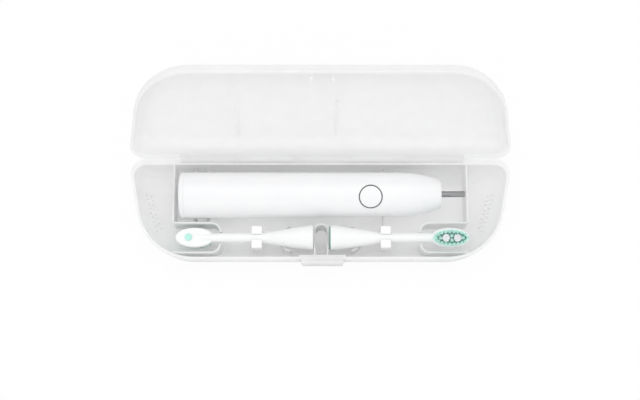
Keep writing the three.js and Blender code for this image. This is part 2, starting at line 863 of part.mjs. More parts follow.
// A trough for the battery with rails for the board and a plate at each end
function chassis() {
  const trough = (radius) => {
    const low = arc(new THREE.Vector2(0, -chassisDrop), radius, -Math.PI, 0, chassisSides);
    const top = boardPlace - fit;
    return [...low, new THREE.Vector2(radius, top), new THREE.Vector2(-radius, top)];
  };
  const along = (points, from, to) => {
    const shape = new THREE.Shape(points);
    const body = new THREE.ExtrudeGeometry(shape, { depth: to - from, bevelEnabled: false });
    body.rotateX(quarter);
    body.rotateZ(quarter);
    body.translate(from, 0, 0);
    return solid(body);
  };
  const body = along(trough(chassisRadius), chassisStart, chassisEnd);
  const inside = along(
    trough(chassisRadius - chassisWall).map((p) => (p.y > 0 ? new THREE.Vector2(p.x, p.y + overrun) : p)),
    chassisStart + chassisPlate,
    chassisEnd - chassisPlate,
  );
  const plate = rod(chassisEnd, chassisEnd + chassisPlate, chassisPlateRadius, roundSides);
  return body.subtract(inside).add(plate);
}

function circuitBoard() {
  const spread = [chassisStart + chassisPlate + boardInset, chassisEnd - chassisPlate - boardInset];
  return cuboid(spread, [-boardWidth / 2, boardWidth / 2], [boardPlace, boardPlace + boardThickness]);
}

function tactileSwitch() {
  const bottom = boardPlace + boardThickness;
  const around = [-switchSize / 2, switchSize / 2];
  const along = around.map((reach) => buttonPlace + reach);
  const body = cuboid(along, around, [bottom, bottom + switchBody]);
  return body.add(post(buttonPlace, 0, switchStem, bottom, bottom + switchHeight, roundSides));
}

function battery() {
  const to = batteryStart + batteryLength;
  const can = rod(batteryStart, to, batteryRadius, roundSides);
  const cap = rod(to - overrun, to + batteryCap, batteryCapRadius, roundSides);
  return can.add(cap).translate([0, 0, -chassisDrop]);
}

function motor() {
  const from = chassisEnd + chassisPlate + fit;
  const can = rod(from, from + motorLength, motorRadius, roundSides);
  const end = from + motorLength;
  const boss = rod(end - overrun, end + motorBossLength, motorBoss, roundSides);
  return can.add(boss);
}

function chargingCoil() {
  return tube(tailCapLength + fit, tailCapLength + fit + coilLength, coilOuter, coilInner, roundSides);
}

function coilCore() {
  const from = tailCapLength + fit;
  const to = from + coilLength + coreRoom;
  const middle = rod(from, to, corePost, roundSides);
  const flangeFrom = from + coilLength + fit;
  return middle.add(rod(flangeFrom, flangeFrom + coreFlange, coilOuter, roundSides));
}

function shaftSeal() {
  const outer = shaftRadius + shaftGap + sealWidth;
  const to = handleLength - fit;
  return tube(to - sealLength, to, outer, shaftRadius + shaftGap, roundSides);
}

// The shaft with a flat ground on its upper side near its tip
function driveShaft() {
  const from = chassisEnd + chassisPlate + fit + motorLength + motorBossLength + fit;
  const to = handleLength + shaftReach;
  const flat = cuboid(
    [to - shaftFlatLength, to + overrun],
    [-shaftRadius, shaftRadius],
    [shaftRadius - shaftFlatDepth, shaftRadius + overrun],
  );
  return rod(from, to, shaftRadius, roundSides).subtract(flat);
}

// Brush head, along +X from the wide end of its cone, with its bristles up

// Cone and neck, wide end first
function stemSide() {
  return [
    [coneRingLength + fit, coneRadius],
    [coneShoulder, coneShoulderRadius],
    [coneWaist, coneWaistRadius],
    [neckStart, neckRadius],
    [neckEnd, neckEndRadius],
    [headCentre, neckEndRadius * neckTipShare],
  ];
}

// An upright plate with an oval outline, centred on the head
function ovalPlate(halfLength, halfWidth, bottom, top, sides) {
  const points = arc(new THREE.Vector2(0, 0), 1, 0, 2 * Math.PI, sides).slice(0, -1);
  const outline = points.map((p) => new THREE.Vector2(headCentre + halfLength * p.x, halfWidth * p.y));
  return prism(outline, bottom, top);
}

function headStem() {
  const side = stemSide();
  const body = turned([[side[0][0], 0], ...side, [headCentre, 0]], stemSides);
  const half = headThickness / 2;
  const cover = (bottom, top) => ovalPlate(headHalfLength, headHalfWidth, bottom, top, headSides);
  const neck = cut(body, [cover(half, headThickness), cover(-headThickness, -half)]);
  const bore = rod(0, socketDepth, socketBore, stemSides);
  return neck.add(cover(-half, half)).subtract(bore);
}

function coneRing() {
  return tube(0, coneRingLength, coneRadius, coneRingBore, stemSides);
}

function shaftSocket() {
  return tube(insertStart, socketDepth - fit, insertRadius, insertBore, roundSides);
}

function colourDot() {
  const top = -headThickness / 2 - fit / 2;
  return post(headCentre + dotOffset, 0, dotRadius, top - dotThickness, top, roundSides);
}

// Places on a grid of staggered rows that lie inside an outline
function staggered(halfLength, halfWidth, pitch, inside) {
  const places = [];
  const rowGap = pitch * Math.sin(Math.PI / 3);
  const rows = Math.floor(halfWidth / rowGap);
  const columns = Math.ceil(halfLength / pitch);
  for (let row = -rows; row <= rows; row += 1) {
    for (let column = -columns; column <= columns; column += 1) {
      const place = new THREE.Vector2(pitch * (column + (row % 2) / 2), rowGap * row);
      if (inside(place)) places.push(place);
    }
  }
  return places;
}

// Separate upright strands at places round the head's centre
function strands(places, bottom, top) {
  const made = places.map((place) => {
    const strand = new THREE.CylinderGeometry(strandRadius, strandRadius, top - bottom, strandSides);
    strand.rotateX(quarter);
    strand.translate(headCentre + place.x, place.y, (bottom + top) / 2);
    return strand;
  });
  return solid(mergeGeometries(made));
}

function nearTuft(place, radius) {
  return whiteTuftPlaces.some((x) => place.distanceTo(new THREE.Vector2(x, 0)) < radius);
}

// The white tufts stand on one thin plate under the mint field
function mintBristles() {
  const bottom = headThickness / 2 + whiteBacking + fit;
  const inside = (place) => {
    const share = (place.x / fieldHalfLength) ** 2 + (place.y / fieldHalfWidth) ** 2;
    return share < 1 && !nearTuft(place, whiteTuftRadius + strandRadius * 2 + fit);
  };
  const edge = strandRadius * 2;
  const top = bottom + backingThickness;
  const backing = ovalPlate(fieldHalfLength + edge, fieldHalfWidth + edge, bottom, top, headSides);
  const holes = whiteTuftPlaces.map((x) => (
    post(headCentre + x, 0, whiteTuftRadius + fit, 0, top + overrun, roundSides)
  ));
  const places = staggered(fieldHalfLength, fieldHalfWidth, fieldPitch, inside);
  const field = strands(places, bottom + backingThickness / 2, bottom + strandLength);
  return cut(backing, holes).add(field);
}

function whiteTufts() {
  const bottom = headThickness / 2 + fit / 2;
  const plateTop = bottom + whiteBacking;
  const baseTop = plateTop + fit + backingThickness;
  const top = headThickness / 2 + whiteBacking + fit + strandLength + whiteTuftLift;
  const plate = ovalPlate(fieldHalfLength, fieldHalfWidth, bottom, plateTop, headSides);
  const bases = whiteTuftPlaces.map((x) => (
    post(headCentre + x, 0, whiteTuftRadius, bottom, baseTop, roundSides)
  ));
  const inside = (place) => place.length() < whiteTuftRadius - strandRadius;
  const one = staggered(whiteTuftRadius, whiteTuftRadius, whiteTuftPitch, inside);
  const places = whiteTuftPlaces.flatMap((x) => (
    one.map((place) => new THREE.Vector2(place.x + x, place.y))
  ));
  return join([plate, ...bases, strands(places, baseTop - backingThickness / 2, top)]);
}

// Materials
function finish(color, roughness, metalness = 0) {
  return new THREE.MeshStandardMaterial({ color, roughness, metalness });
}

const caseWhite = finish(0xf4f5f5, caseRoughness);
const handleWhite = finish(0xf6f6f7, handleRoughness);
const clipWhite = finish(0xfafafa, handleRoughness);
const steel = finish(0x8e8f92, steelRoughness, 1);
const seal = finish(0x4a4d50, caseRoughness);
const ringGrey = finish(0x3a3d42, caseRoughness);
const innerGrey = finish(0xb9bcc0, caseRoughness);
const boardGreen = finish(0x1f6b4a, caseRoughness);
const cellBlue = finish(0x3c6fa5, handleRoughness);
const copper = finish(0xb06a3a, steelRoughness, 1);
const ferrite = finish(0x3b3b3d, caseRoughness);
const mint = finish(0x55c7aa, caseRoughness);
const tuftWhite = finish(0xf2fbf8, caseRoughness);

// A named mesh from a solid
function piece(name, made, material) {
  const body = made.simplify(weld);
  const { vertProperties, triVerts, numProp } = body.getMesh();
  const geometry = new THREE.BufferGeometry();
  const positions = new Float32Array((vertProperties.length / numProp) * 3);
  for (let i = 0; i < positions.length; i += 1) {
    positions[i] = vertProperties[Math.floor(i / 3) * numProp + (i % 3)];
  }
  geometry.setAttribute('position', new THREE.BufferAttribute(positions, 3));
  geometry.setIndex(new THREE.BufferAttribute(new Uint32Array(triVerts), 1));
  geometry.computeVertexNormals();
  const mesh = new THREE.Mesh(geometry, material);
  mesh.name = name;
  return mesh;
}

function caseBase() {
  const group = new THREE.Group();
  group.add(
    piece('base_shell', baseShell(), caseWhite),
    piece('hinge_pin', hingePin(), steel),
    piece('latch_button', latchButton(), caseWhite),
    piece('latch_spring', latchSpring(), steel),
    piece('neck_clip_left', neckClip(clipPlaces[0]), clipWhite),
    piece('neck_clip_right', neckClip(clipPlaces[1]), clipWhite),
  );
  return group;
}

// The lid's group turns it open about the hinge
function openLid() {
  const lid = piece('lid_shell', lidShell(), caseWhite);
  lid.position.set(0, -rearY, -rimZ);
  const group = new THREE.Group();
  group.position.set(0, rearY, rimZ);
  group.rotation.x = -lidOpening;
  group.add(lid);
  return group;
}

function handle() {
  const group = new THREE.Group();
  group.position.set(handleLeft, rearY - handleDepthPlace, handleZ);
  group.rotation.x = handleRoll;
  group.rotation.z = handleTurn;
  group.add(
    piece('handle_housing', handleHousing(), handleWhite),
    piece('tail_cap', tailCap(), handleWhite),
    piece('tail_seal', tailSeal(), seal),
    piece('power_button', powerButton(), handleWhite),
    piece('button_ring', buttonRing(), ringGrey),
    piece('chassis', chassis(), innerGrey),
    piece('circuit_board', circuitBoard(), boardGreen),
    piece('tactile_switch', tactileSwitch(), ferrite),
    piece('battery', battery(), cellBlue),
    piece('motor', motor(), steel),
    piece('charging_coil', chargingCoil(), copper),
    piece('coil_core', coilCore(), ferrite),
    piece('shaft_seal', shaftSeal(), seal),
    piece('drive_shaft', driveShaft(), steel),
  );
  return group;
}

function brushHead(side) {
  const group = new THREE.Group();
  group.add(
    piece(`head_stem_${side}`, headStem(), handleWhite),
    piece(`cone_ring_${side}`, coneRing(), mint),
    piece(`shaft_socket_${side}`, shaftSocket(), innerGrey),
    piece(`colour_dot_${side}`, colourDot(), mint),
    piece(`mint_bristles_${side}`, mintBristles(), mint),
    piece(`white_tufts_${side}`, whiteTufts(), tuftWhite),
  );
  return group;
}

// The left head lies the other way round, with its bristles down
function leftHead() {
  const group = brushHead('left');
  group.position.set(leftHeadPlace, rearY - headDepthPlace, headZ);
  group.rotation.y = Math.PI;
  return group;
}

// The right head lies with its bristles up, rolled a little towards the front
function rightHead() {
  const group = brushHead('right');
  group.position.set(rightHeadPlace, rearY - headDepthPlace, headZ);
  group.rotation.x = rightHeadRoll;
  return group;
}

const travelCase = new THREE.Group();
travelCase.add(caseBase(), openLid(), handle(), leftHead(), rightHead());
export default travelCase;
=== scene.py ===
"""Travel case for an electric toothbrush, lid open, with its handle and two brush heads.

Lengths are in millimetres until a piece is finished, and each piece is then scaled to metres.
The origin is the centre of the base's underside, +X runs along the case and +Y towards the hinge.
"""

import math
import random

import bmesh
import bpy
from mathutils import Matrix, Vector


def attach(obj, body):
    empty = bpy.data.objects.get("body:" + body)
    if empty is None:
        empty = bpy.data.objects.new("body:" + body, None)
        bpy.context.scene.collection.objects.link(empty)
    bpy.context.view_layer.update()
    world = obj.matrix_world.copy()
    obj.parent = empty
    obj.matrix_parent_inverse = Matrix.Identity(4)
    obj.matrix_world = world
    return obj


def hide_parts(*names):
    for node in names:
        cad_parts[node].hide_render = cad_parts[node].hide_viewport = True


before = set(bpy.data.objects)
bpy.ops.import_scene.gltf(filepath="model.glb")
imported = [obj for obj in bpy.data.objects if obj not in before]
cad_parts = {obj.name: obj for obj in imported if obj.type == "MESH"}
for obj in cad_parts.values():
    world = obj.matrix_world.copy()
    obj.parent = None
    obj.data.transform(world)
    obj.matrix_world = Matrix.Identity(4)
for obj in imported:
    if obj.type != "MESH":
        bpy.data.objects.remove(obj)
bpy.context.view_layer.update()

METRE = 0.001
MERGE = 0.0005
QUARTER = math.pi / 2
TURN = 2 * math.pi

# ---------------------------------------------------------------- camera

camera_data = bpy.data.cameras.new("camera")
camera_data.lens = 63
camera_data.sensor_width = 36
camera = bpy.data.objects.new("camera", camera_data)
camera.location = Vector((-0.25, -149.8, 698.8)) * METRE
camera.rotation_euler = (math.radians(13), 0, 0)
bpy.context.scene.collection.objects.link(camera)
bpy.context.scene.camera = camera

# ---------------------------------------------------------------- sizes

CASE_LENGTH = 236.1
CASE_DEPTH = 63.6
REAR = 32.6
SIDE_LEAN = 0.18
REAR_CORNER = 9
FRONT_CORNER = 36
LEAST_CORNER = 1.5
RIM = 22.5
FLOOR = 2.2
BASE_SWEEP = 23
BASE_FRONT = 14
BASE_REAR = 13
FLUSH = (0, 0, 0)
BASE_RIM = (1.8, 1.8, 3.7)
LID_RIM = (1.8, 1.8, 2.5)
LID_HEIGHT = 14.4
LID_SIDE = 5
LID_WALL = 2
LID_SWEEP = 7
LID_FRONT = 9
LID_REAR = 9
LID_OPENING = 2.2515
FIT = 0.3
OVERRUN = 1
HINGE_GAP = 0.05
HINGE_FROM = -87.1
HINGE_TO = 89.1
KNUCKLES = 5
KNUCKLE_RADIUS = 2.4
PIN_BORE = 1.25
HANDLE_PLACE = (-87.2, 22.6)
HANDLE_Z = 18.5
HANDLE_ROLL = 0.33
HANDLE_TURN = 0.0058
HANDLE_LENGTH = 162
HANDLE_SHOULDER = 127.6
HEAD_AHEAD = 49.3
HEAD_Z = 18.5
HEAD_PLACES = {"left": -4.5, "right": 6.9}
HEAD_ROLL = 0.2
BUTTON_PLACE = 118
BUTTON_RADIUS = 6.75


# ---------------------------------------------------------------- shape helpers


def arc(centre, radius, start, end, steps):
    """Points of an arc in a plane"""
    angles = [start + (end - start) * i / steps for i in range(steps + 1)]
    return [(centre[0] + radius * math.cos(a), centre[1] + radius * math.sin(a)) for a in angles]


def ahead(x, distance):
    """A point of the plan at a distance in front of the hinge"""
    return (x, REAR - distance)


def case_outline(end, front, rear):
    """The plan of the case with its ends, front and rear drawn in"""
    middle = CASE_LENGTH / 2 - REAR_CORNER

    def reach(distance):
        return middle + (REAR_CORNER - end - math.sin(SIDE_LEAN) * (distance - REAR_CORNER)) / math.cos(SIDE_LEAN)

    far = CASE_DEPTH - front
    rear_radius = max(REAR_CORNER - min(end, rear), LEAST_CORNER)
    front_radius = max(FRONT_CORNER - (end + front) / 2, LEAST_CORNER)
    rear_span = math.tan((QUARTER + SIDE_LEAN) / 2) * rear_radius
    front_span = math.tan((QUARTER - SIDE_LEAN) / 2) * front_radius
    front_centre = ahead(reach(far) - front_span, far - front_radius)
    rear_centre = ahead(reach(rear) - rear_span, rear + rear_radius)
    right = arc(front_centre, front_radius, -QUARTER, -SIDE_LEAN, 22)
    right += arc(rear_centre, rear_radius, -SIDE_LEAN, QUARTER, 12)
    return right + [(-x, y) for x, y in reversed(right)]


def rounded_inset(depth, height, radius):
    """How far a rounded edge has come in at a depth"""
    past = max(depth - (height - radius), 0) / radius
    return radius * (1 - math.sqrt(max(1 - past * past, 0)))


def bowl_levels(height, rim, sweep, front, rear, steps=18):
    """Outlines of a bowl from its rim down to its flat, each with its depth"""
    levels = []
    for i in range(steps + 1):
        turn = QUARTER * i / steps
        depth = height * math.sin(turn)
        outline = case_outline(
            rim[0] + sweep * (1 - math.cos(turn)),
            rim[1] + rounded_inset(depth, height, front),
            rim[2] + rounded_inset(depth, height, rear),
        )
        levels.append((outline, depth))
    return levels


def level_ring(rim, inset, z):
    """The outline of a rim drawn in further by an inset, at a height"""
    return (case_outline(*(side + inset for side in rim)), z)


def rim_levels(rim, z, out):
    """Outlines over a rim from outside to inside, with both its edges rounded. out is 1 for up and -1 for down."""
    edge, inner = 0.45, 0.3  # radii of the outer and the inner edge
    levels = [level_ring(FLUSH, edge * (1 - math.cos(a)), z - out * edge * (1 - math.sin(a)))
              for a in (0, QUARTER / 3, QUARTER * 2 / 3, QUARTER)]
    return levels + [level_ring(rim, -inner * (1 - math.sin(a)), z - out * inner * (1 - math.cos(a)))
                     for a in (0, QUARTER / 2, QUARTER)]


def loft(levels):
    """A closed body drawn up through outlines of equal count"""
    made = bmesh.new()
    place = made.verts.layers.int.new("place")
    outline, z = levels[0]
    ring = [made.verts.new((x, y, z)) for x, y in outline]
    for i, vert in enumerate(ring):
        vert[place] = i
    made.faces.new(reversed(ring))
    edges = list(made.edges)
    for outline, z in levels[1:]:
        drawn = bmesh.ops.extrude_edge_only(made, edges=edges)["geom"]
        edges = [part for part in drawn if isinstance(part, bmesh.types.BMEdge)]
        ring = [part for part in drawn if isinstance(part, bmesh.types.BMVert)]
        for vert in ring:
            vert.co = (*outline[vert[place]], z)
    made.faces.new(sorted(ring, key=lambda vert: vert[place]))
    made.verts.layers.int.remove(place)
    bmesh.ops.recalc_face_normals(made, faces=made.faces)
    return made


def lathe(profile, sides=64, ring=False):
    """A turned body about the X axis, from pairs of a place along it and a radius"""
    made = bmesh.new()
    verts = [made.verts.new((place, 0, radius)) for place, radius in profile]
    edges = [made.edges.new(pair) for pair in zip(verts, verts[1:])]
    if ring:
        edges.append(made.edges.new((verts[-1], verts[0])))
    bmesh.ops.spin(
        made, geom=verts + edges, cent=(0, 0, 0), axis=(1, 0, 0), angle=TURN, steps=sides, use_merge=True
    )
    bmesh.ops.remove_doubles(made, verts=made.verts, dist=MERGE)
    bmesh.ops.recalc_face_normals(made, faces=made.faces)
    return made


def rounded_rod(start, end, radius, edge, sides=64, steps=4):
    """A turned rod with rounded ends"""
    profile = [(start, 0)]
    profile += [(start + edge - edge * math.sin(a), radius - edge + edge * math.cos(a))
                for a in [QUARTER * (1 - i / steps) for i in range(steps + 1)]]
    profile += [(end - edge + edge * math.sin(a), radius - edge + edge * math.cos(a))
                for a in [QUARTER * i / steps for i in range(steps + 1)]]
    profile.append((end, 0))
    return lathe(profile, sides)


def rounded(made, edges, width, segments=3):
    """Rounds some of a body's edges"""
    bmesh.ops.bevel(
        made, geom=edges, offset=width, offset_type="OFFSET", segments=segments, profile=0.5,
        affect="EDGES", material=-1, clamp_overlap=True,
    )
    return made


def prism(outline, bottom, top, edge=0, below=0):
    """An upright body on a plan outline, with its upper and lower edges rounded"""
    made = bmesh.new()
    face = made.faces.new([made.verts.new((x, y, bottom)) for x, y in outline])
    drawn = bmesh.ops.extrude_face_region(made, geom=[face])["geom"]
    bmesh.ops.translate(
        made, vec=(0, 0, top - bottom), verts=[part for part in drawn if isinstance(part, bmesh.types.BMVert)]
    )
    bmesh.ops.recalc_face_normals(made, faces=made.faces)
    for width, z in ((edge, top), (below, bottom)):
        if width:
            rounded(made, [e for e in made.edges if all(abs(v.co.z - z) < MERGE for v in e.verts)], width)
    return made


def block(xs, ys, zs, edge=0, segments=3):
    """A block between two values of each of x, y and z, with all its edges rounded"""
    made = bmesh.new()
    size = Matrix.Diagonal((xs[1] - xs[0], ys[1] - ys[0], zs[1] - zs[0], 1))
    centre = Vector(((xs[0] + xs[1]) / 2, (ys[0] + ys[1]) / 2, (zs[0] + zs[1]) / 2))
    bmesh.ops.create_cube(made, size=1, matrix=Matrix.Translation(centre) @ size)
    if edge:
        rounded(made, made.edges[:], edge, segments)
    return made


def block_ahead(xs, distances, zs, edge=0):
    """A block placed by its distances in front of the hinge"""
    return block(xs, (REAR - distances[1], REAR - distances[0]), zs, edge)


def post(x, y, radius, bottom, top, sides=48, edge=0):
    """An upright round body with its upper edge rounded"""
    made = bmesh.new()
    place = Matrix.Translation((x, y, (bottom + top) / 2))
    bmesh.ops.create_cone(
        made, cap_ends=True, segments=sides, radius1=radius, radius2=radius, depth=top - bottom, matrix=place
    )
    if edge:
        rounded(made, [e for e in made.edges if all(v.co.z > top - MERGE for v in e.verts)], edge)
    return made


def wall_outline(line, thickness):
    """The plan of a wall that stands on a line"""
    sides = ([], [])
    for i, point in enumerate(line):
        before, after = Vector(line[max(i - 1, 0)]), Vector(line[min(i + 1, len(line) - 1)])
        along = (after - before).normalized()
        out = Vector((along.y, -along.x)) * thickness / 2
        sides[0].append(tuple(Vector(point) + out))
        sides[1].append(tuple(Vector(point) - out))
    return sides[0] + sides[1][::-1]


def moved(made, matrix):
    """A body put through a matrix"""
    bmesh.ops.transform(made, matrix=matrix, verts=made.verts)
    return made


def take_in(whole, shape):
    """Puts a body into the mesh of another, without joining them"""
    part = bpy.data.meshes.new("part")
    shape.to_mesh(part)
    shape.free()
    whole.from_mesh(part)
    bpy.data.meshes.remove(part)


def piece_from(name, made):
    """Makes a body into an object of the scene"""
    mesh = bpy.data.meshes.new(name)
    made.to_mesh(mesh)
    made.free()
    piece = bpy.data.objects.new(name, mesh)
    bpy.context.scene.collection.objects.link(piece)
    return piece


def shape_of(piece):
    """Takes a piece back to a bare shape"""
    made = bmesh.new()
    made.from_mesh(piece.data)
    bpy.data.objects.remove(piece)
    return made


def bake(piece):
    """Puts a piece's modifiers into its mesh"""
    bpy.context.view_layer.update()
    seen = piece.evaluated_get(bpy.context.evaluated_depsgraph_get())
    mesh = bpy.data.meshes.new_from_object(seen)
    piece.modifiers.clear()
    old = piece.data
    piece.data = mesh
    bpy.data.meshes.remove(old)


def combine(piece, how, shapes):
    """Joins, cuts or keeps what is common of a piece and some bodies"""
    tools = [piece_from("tool", shape) for shape in shapes]
    for tool in tools:
        step = piece.modifiers.new(how, "BOOLEAN")
        step.operation = how
        step.solver = "MANIFOLD"
        step.object = tool
    bake(piece)
    for tool in tools:
        bpy.data.objects.remove(tool)


def finished(piece, body, nodes, material, sharp=40):
    """A piece in metres, shaded smooth up to an angle, on its body and in place of its solids"""
    piece.data.transform(Matrix.Scale(METRE, 4))
    piece.data.shade_smooth()
    piece.data.set_sharp_from_angle(angle=math.radians(sharp))
    piece.data.materials.clear()
    piece.data.materials.append(material)
    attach(piece, body)
    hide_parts(*nodes)


# ---------------------------------------------------------------- finishes


def linear(code):
    """An sRGB hex colour as linear values"""
    channels = [int(code[i:i + 2], 16) / 255 for i in (1, 3, 5)]
    return tuple(c / 12.92 if c <= 0.04045 else ((c + 0.055) / 1.055) ** 2.4 for c in channels) + (1,)


def add(tree, kind, settings, links=None):
    """A shader node with its settings and what feeds its sockets"""
    node = tree.nodes.new(kind)
    for name, value in settings.items():
        if name in node.inputs:
            node.inputs[name].default_value = value
        else:
            setattr(node, name, value)
    for name, source in (links or {}).items():
        tree.links.new(source, node.inputs[name])
    return node


def finish(name, colours, grain, bump, roughness, values, stretch=(1, 1, 1), through=0):
    """A finish whose colour, gloss and relief vary over the piece.

    grain is the size of the relief's grain in millimetres and bump its height. stretch draws the grain out, and
    through is the share of light that a thin wall lets pass.
    """
    cloud_size = grain * 12 * METRE
    material = bpy.data.materials.new(name)
    material.use_nodes = True
    tree = material.node_tree
    shader = tree.nodes["Principled BSDF"]
    where = add(tree, "ShaderNodeTexCoord", {}).outputs["Object"]
    drawn = add(tree, "ShaderNodeMapping", {"Scale": stretch}, {"Vector": where}).outputs["Vector"]
    cloud = add(
        tree, "ShaderNodeTexNoise", {"Scale": 1 / cloud_size, "Detail": 4}, {"Vector": drawn}
    ).outputs["Fac"]
    ramp = add(tree, "ShaderNodeValToRGB", {}, {"Fac": cloud})
    ramp.color_ramp.elements[0].position = 0.3
    ramp.color_ramp.elements[1].position = 0.7
    ramp.color_ramp.elements[0].color = linear(colours[0])
    ramp.color_ramp.elements[1].color = linear(colours[1])
    fine = add(
        tree, "ShaderNodeTexNoise", {"Scale": 1 / (grain * METRE), "Detail": 3, "Roughness": 0.55}, {"Vector": drawn}
    ).outputs["Fac"]
    gloss = add(
        tree, "ShaderNodeMapRange", {"To Min": roughness[0], "To Max": roughness[1]}, {"Value": fine}
    ).outputs["Result"]
    relief = add(tree, "ShaderNodeBump", {"Strength": 1, "Distance": bump * METRE}, {"Height": fine})
    tree.links.new(ramp.outputs["Color"], shader.inputs["Base Color"])
    tree.links.new(gloss, shader.inputs["Roughness"])
    tree.links.new(relief.outputs["Normal"], shader.inputs["Normal"])
    for socket, value in values.items():
        shader.inputs[socket].default_value = value
    if through:
        milk = add(tree, "ShaderNodeBsdfTranslucent", {}, {"Color": ramp.outputs["Color"]}).outputs["BSDF"]
        blend = add(tree, "ShaderNodeMixShader", {"Fac": through})
        tree.links.new(shader.outputs["BSDF"], blend.inputs[1])
        tree.links.new(milk, blend.inputs[2])
        tree.links.new(blend.outputs["Shader"], tree.nodes["Material Output"].inputs["Surface"])
    return material


# Polypropylene moulded against a spark-eroded tool: a milky white with a satin sheen, its thin walls pass some light
case_finish = finish("satin moulded polypropylene", ("#f9f9f9", "#fcfcfc"), 0.6, 0.004, (0.42, 0.54),
                     {"IOR": 1.49}, through=0.42)
# ABS moulded in a polished tool: glossier than the case, and opaque
clip_finish = finish("polished moulded ABS clips", ("#f3f3f3", "#f6f6f6"), 0.8, 0.002, (0.22, 0.3), {"IOR": 1.53})
# ABS under a lacquer: smooth, with broad soft highlights
handle_finish = finish("lacquered ABS housing", ("#eff0f1", "#f2f2f3"), 0.9, 0.002, (0.26, 0.36),
                       {"IOR": 1.53, "Coat Weight": 0.25, "Coat Roughness": 0.2})
# Nylon-filled copolyester of the heads: white, a little translucent
head_finish = finish("moulded copolyester heads", ("#f1f2f2", "#f4f5f5"), 0.7, 0.002, (0.24, 0.34),
                     {"IOR": 1.55, "Subsurface Weight": 0.1, "Subsurface Radius": (0.8, 0.9, 0.9),
                      "Subsurface Scale": 0.001})
# Silicone of the ring round the power button: a dull grey
ring_finish = finish("moulded grey silicone", ("#5c5f62", "#686b6e"), 0.3, 0.004, (0.5, 0.62), {"IOR": 1.41})
# Stainless steel, ground along its length: fine lines that draw the highlight out
shaft_finish = finish("ground stainless steel", ("#929394", "#9b9c9d"), 0.12, 0.002, (0.4, 0.5),
                      {"Metallic": 1}, stretch=(0.06, 1, 1))
# Thermoplastic elastomer of the dots on the heads: a pale, even mint
mint_finish = finish("moulded mint elastomer", ("#b4eadd", "#c0f0e5"), 0.5, 0.003, (0.4, 0.5),
                     {"IOR": 1.5, "Subsurface Weight": 0.15, "Subsurface Radius": (0.5, 0.9, 0.8),
                      "Subsurface Scale": 0.001})
# The bands in the cones: the same mint elastomer, its colour darkened to a deeper teal as painted shade for the gap
# beside the divider, the only place where it is seen
band_painted_shade_finish = finish("mint elastomer darkened by painted shade", ("#6d9d90", "#78a89b"), 0.5, 0.003, (0.4, 0.5), {"IOR": 1.5})
# Extruded nylon filament of the bristles: mint in the field and white in the round tufts
mint_nylon = finish("extruded mint nylon filament", ("#c8fff0", "#d8fff6"), 0.4, 0.002, (0.25, 0.35),
                    {"IOR": 1.53})
white_nylon = finish("extruded white nylon filament", ("#f6fdff", "#fcfeff"), 0.4, 0.002, (0.25, 0.35),
                     {"IOR": 1.53})
# Pin, spring and motor can: cold rolled steel, nickel plated, brighter than the shaft
plated_finish = finish("nickel plated steel", ("#a9aaac", "#bcbdbf"), 0.2, 0.002, (0.2, 0.34), {"Metallic": 1},
                       stretch=(0.1, 1, 1))
# Nitrile rubber of the seals: black and dull
seal_finish = finish("moulded black nitrile", ("#2a2c2e", "#36383a"), 0.3, 0.005, (0.55, 0.7), {"IOR": 1.52})
# Glass-filled nylon: a grey with the faint mottle of its fibres
frame_finish = finish("glass filled nylon", ("#b0b3b6", "#c3c6c8"), 0.25, 0.01, (0.5, 0.64), {"IOR": 1.53})
# Glass epoxy of the board under a green solder mask
board_finish = finish("solder masked glass epoxy", ("#1d6446", "#25764f"), 0.3, 0.004, (0.25, 0.4), {"IOR": 1.55})
# Thermoset body of the switch: near black
switch_finish = finish("moulded thermoset switch body", ("#333436", "#414244"), 0.3, 0.005, (0.4, 0.55), {"IOR": 1.5})
# Vinyl sleeve shrunk on the cell: blue and glossy
cell_finish = finish("shrunk vinyl cell sleeve", ("#376899", "#4478ad"), 0.9, 0.006, (0.24, 0.4), {"IOR": 1.52})
# Enamelled copper wire wound side by side: the grain is drawn round the coil, a turn each 0.3 mm
copper_finish = finish("wound enamelled copper", ("#9c5a30", "#bd7440"), 0.3, 0.05, (0.25, 0.4), {"Metallic": 1},
                       stretch=(1, 0.08, 0.08))
# Ferrite core, sintered: a dull dark grey
ferrite_finish = finish("sintered ferrite", ("#38383a", "#474749"), 0.2, 0.012, (0.6, 0.75), {"IOR": 1.6})

for node, made_of in {
    "hinge_pin": plated_finish, "latch_spring": plated_finish, "motor": plated_finish, "tail_seal": seal_finish,
    "shaft_seal": seal_finish, "chassis": frame_finish, "shaft_socket_left": frame_finish,
    "shaft_socket_right": frame_finish, "circuit_board": board_finish, "tactile_switch": switch_finish,
    "battery": cell_finish, "charging_coil": copper_finish, "coil_core": ferrite_finish,
}.items():
    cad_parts[node].data.materials.clear()
    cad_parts[node].data.materials.append(made_of)

# ---------------------------------------------------------------- hinge


def knuckle_spans(odd, gap):
    """Where every other knuckle starts and ends, grown at both ends by a gap"""
    step = (HINGE_TO - HINGE_FROM) / KNUCKLES
    return [(HINGE_FROM + step * i - gap, HINGE_FROM + step * (i + 1) + gap) for i in range(odd, KNUCKLES, 2)]


HINGE = Matrix.Translation((0, REAR, RIM))


def knuckles(odd):
    """The knuckles of one shell, each with its bore and rounded ends"""
    edge = 0.15
    made = []
    for start, end in knuckle_spans(odd, -HINGE_GAP / 2):
        profile = [(start, PIN_BORE), (start, KNUCKLE_RADIUS - edge), (start + edge, KNUCKLE_RADIUS),
                   (end - edge, KNUCKLE_RADIUS), (end, KNUCKLE_RADIUS - edge), (end, PIN_BORE)]
        made.append(moved(lathe(profile, 32, ring=True), HINGE))
    return made


def knuckle_notches(odd):
    """The room that the other shell's knuckles need"""
    return [moved(rounded_rod(start, end, KNUCKLE_RADIUS + HINGE_GAP, 0.1, 32, 2), HINGE)
            for start, end in knuckle_spans(odd, HINGE_GAP / 2)]


